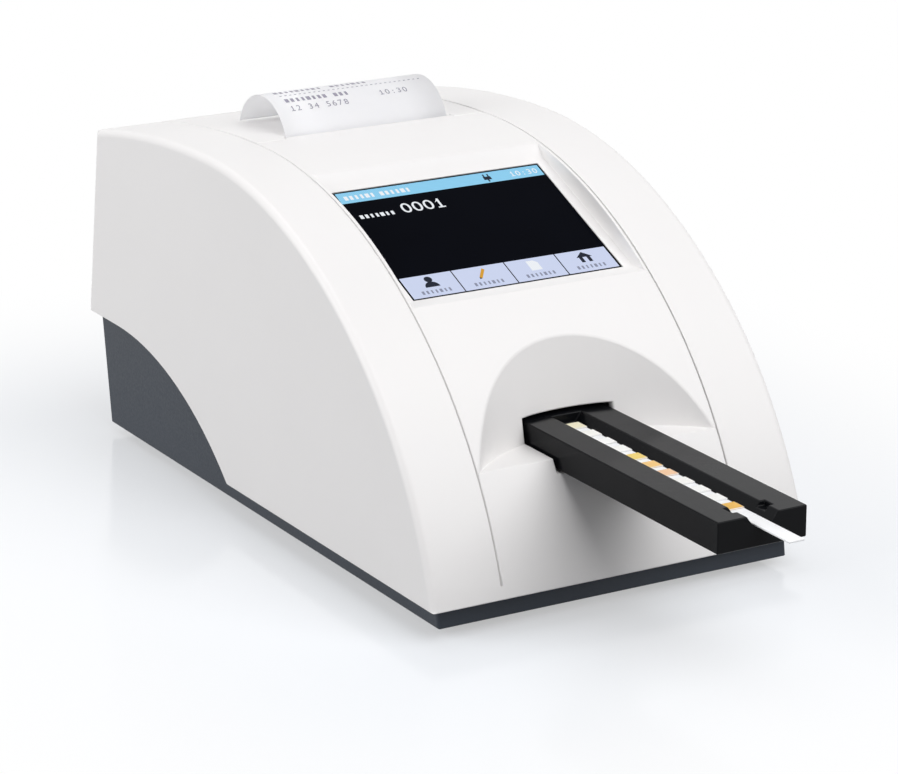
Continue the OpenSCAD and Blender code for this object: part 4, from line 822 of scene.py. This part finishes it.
# Its rows are laid out in mm, x from the paper's middle and y up from the slot.
print_rows = [figures("12", 2.2, -24.0, 19.6, 0, 2.1), figures("34", 2.2, -17.7, 19.6, 0, 2.1),
              figures("5678", 2.2, -11.4, 19.6, 0, 2.1), figures("10:30", 2.2, 8.5, 21.6, 0, 2.1),
              blocks(-24.2, 23.6, 8, 1.9, 1.9, 0, print_grey), blocks(-7.0, 23.6, 3, 1.9, 1.9, 0, print_grey),
              blocks(-24.6, 27.6, 30, 1.7, 0.35, 0, print_grey, 0.45, 0.0),
              blocks(-25.0, 30.0, 9, 1.9, 1.9, 0, print_grey), blocks(-5.0, 30.0, 7, 1.9, 1.9, 0, print_grey)]
print_form = bmesh.new()
for mesh in print_rows:
    print_form.from_mesh(mesh)
bend_step = 0.4     # mm between the cuts that let the print follow the curl
for i in range(int(paper_l / (bend_step * MM))):
    bmesh.ops.bisect_plane(print_form, geom=print_form.verts[:] + print_form.edges[:] + print_form.faces[:],
                           plane_co=(0, i * bend_step * MM, 0), plane_no=(0, 1, 0))
on_curl(print_form, paper_t / 2 + 0.01 * MM)
bmesh.ops.triangulate(print_form, faces=print_form.faces)
print_mesh = bpy.data.meshes.new("paper_print")
print_form.to_mesh(print_mesh)
print_form.free()
put("paper_print", print_mesh, "lid", print_grey)


# Floor, light and camera. A pale, slightly glossy table top that fades into white, a broad soft lamp in
# front and above, weaker ones overhead and to the left, and an even surround; the camera stands to the
# front left.

def white_rays(tree):
    """1 for rays that see the surround: straight, mirrored or through glass."""
    path = add(tree, "ShaderNodeLightPath")
    seen = add(tree, "ShaderNodeMath", {0: path.outputs["Is Camera Ray"], 1: path.outputs["Is Glossy Ray"]},
               operation="MAXIMUM")
    return add(tree, "ShaderNodeMath", {0: seen.outputs[0], 1: path.outputs["Is Transmission Ray"]},
               operation="MAXIMUM").outputs[0]


world = bpy.data.worlds.new("white surround")
bpy.context.scene.world = world
world.use_nodes = True
tree = world.node_tree
tree.nodes.clear()
ambient = add(tree, "ShaderNodeBackground", {"Color": linear("fafbff"), "Strength": 0.25})
backdrop = add(tree, "ShaderNodeBackground", {"Color": (1, 1, 1, 1), "Strength": 1.0})
surround = add(tree, "ShaderNodeMixShader",
               {0: white_rays(tree), 1: ambient.outputs[0], 2: backdrop.outputs[0]})
add(tree, "ShaderNodeOutputWorld", {"Surface": surround.outputs[0]})

floor_form = bmesh.new()
bmesh.ops.create_grid(floor_form, x_segments=2, y_segments=2, size=4.0)
floor_mesh = bpy.data.meshes.new("table_top")
floor_form.to_mesh(floor_mesh)
floor_form.free()
floor = bpy.data.objects.new("table_top", floor_mesh)
bpy.context.collection.objects.link(floor)

# The table is white to the eye, close to the object in its shade and further out as the white surround.
table_top, tree, shader, place = new_material("white lacquered table top", IOR=1.5, Roughness=0.14)
sight = white_rays(tree)
table_tone = add(tree, "ShaderNodeMix", {0: sight, 6: linear("6c6e72"), 7: linear("eff4fb")}, data_type="RGBA")
tree.links.new(table_tone.outputs[2], shader.inputs["Base Color"])
cover_low, cover_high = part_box("top_cover")
middle, reach = (cover_low + cover_high) / 2, (cover_high - cover_low) / 2
from_middle = add(tree, "ShaderNodeMapping", {"Vector": place, "Location": (-middle.x, -middle.y, 0)})
folded = add(tree, "ShaderNodeVectorMath", {0: from_middle.outputs[0]}, operation="ABSOLUTE")
past = add(tree, "ShaderNodeVectorMath", {0: folded.outputs[0], 1: (reach.x, reach.y, 0)}, operation="SUBTRACT")
outside = add(tree, "ShaderNodeVectorMath", {0: past.outputs[0], 1: (0, 0, 0)}, operation="MAXIMUM")
distance = add(tree, "ShaderNodeVectorMath", {0: outside.outputs[0]}, operation="LENGTH")
fade_l, white_near = 0.16, 0.45
fade = add(tree, "ShaderNodeMapRange", {0: distance.outputs["Value"], 1: 0.0, 2: fade_l, 3: white_near, 4: 1.0},
           interpolation_type="SMOOTHSTEP")
white_share = add(tree, "ShaderNodeMath", {0: fade.outputs[0], 1: sight}, operation="MULTIPLY")
glow = add(tree, "ShaderNodeEmission", {"Color": (1, 1, 1, 1), "Strength": 1.0})
blend = add(tree, "ShaderNodeMixShader", {0: white_share.outputs[0], 1: shader.outputs[0], 2: glow.outputs[0]})
surface = next(node for node in tree.nodes if node.type == "OUTPUT_MATERIAL")
tree.links.new(blend.outputs[0], surface.inputs["Surface"])
floor_mesh.materials.append(table_top)


def lamp(name, place, aim, size, power):
    """A square soft lamp: place, aim and size in metres, power in watts."""
    light = bpy.data.lights.new(name, "AREA")
    light.size = size
    light.energy = power
    holder = bpy.data.objects.new(name, light)
    bpy.context.collection.objects.link(holder)
    holder.location = place
    holder.rotation_euler = (Vector(aim) - Vector(place)).to_track_quat("-Z", "Y").to_euler()


lamp("broad lamp in front and above", (0.35, -1.0, 1.25), (0, 0, 0.05), 1.7, 23.0)
lamp("soft lamp overhead", (0.0, 0.5, 1.5), (0, 0.05, 0.1), 1.0, 2.5)
lamp("soft lamp to the left", (-1.55, 0.5, 0.65), (0, 0, 0.05), 1.2, 17.5)

camera_data = bpy.data.cameras.new("camera")
camera_data.sensor_fit = "HORIZONTAL"
camera_data.sensor_width = 36.0
camera_data.lens = 145.72
camera = bpy.data.objects.new("camera", camera_data)
bpy.context.collection.objects.link(camera)
camera_down, camera_left = 17.793, 30.187
camera.location = (-0.5352, -0.8905, 0.3799)
camera.rotation_euler = (math.radians(90 - camera_down), 0, -math.radians(camera_left))
bpy.context.scene.camera = camera
bpy.context.scene.view_settings.view_transform = "Standard"
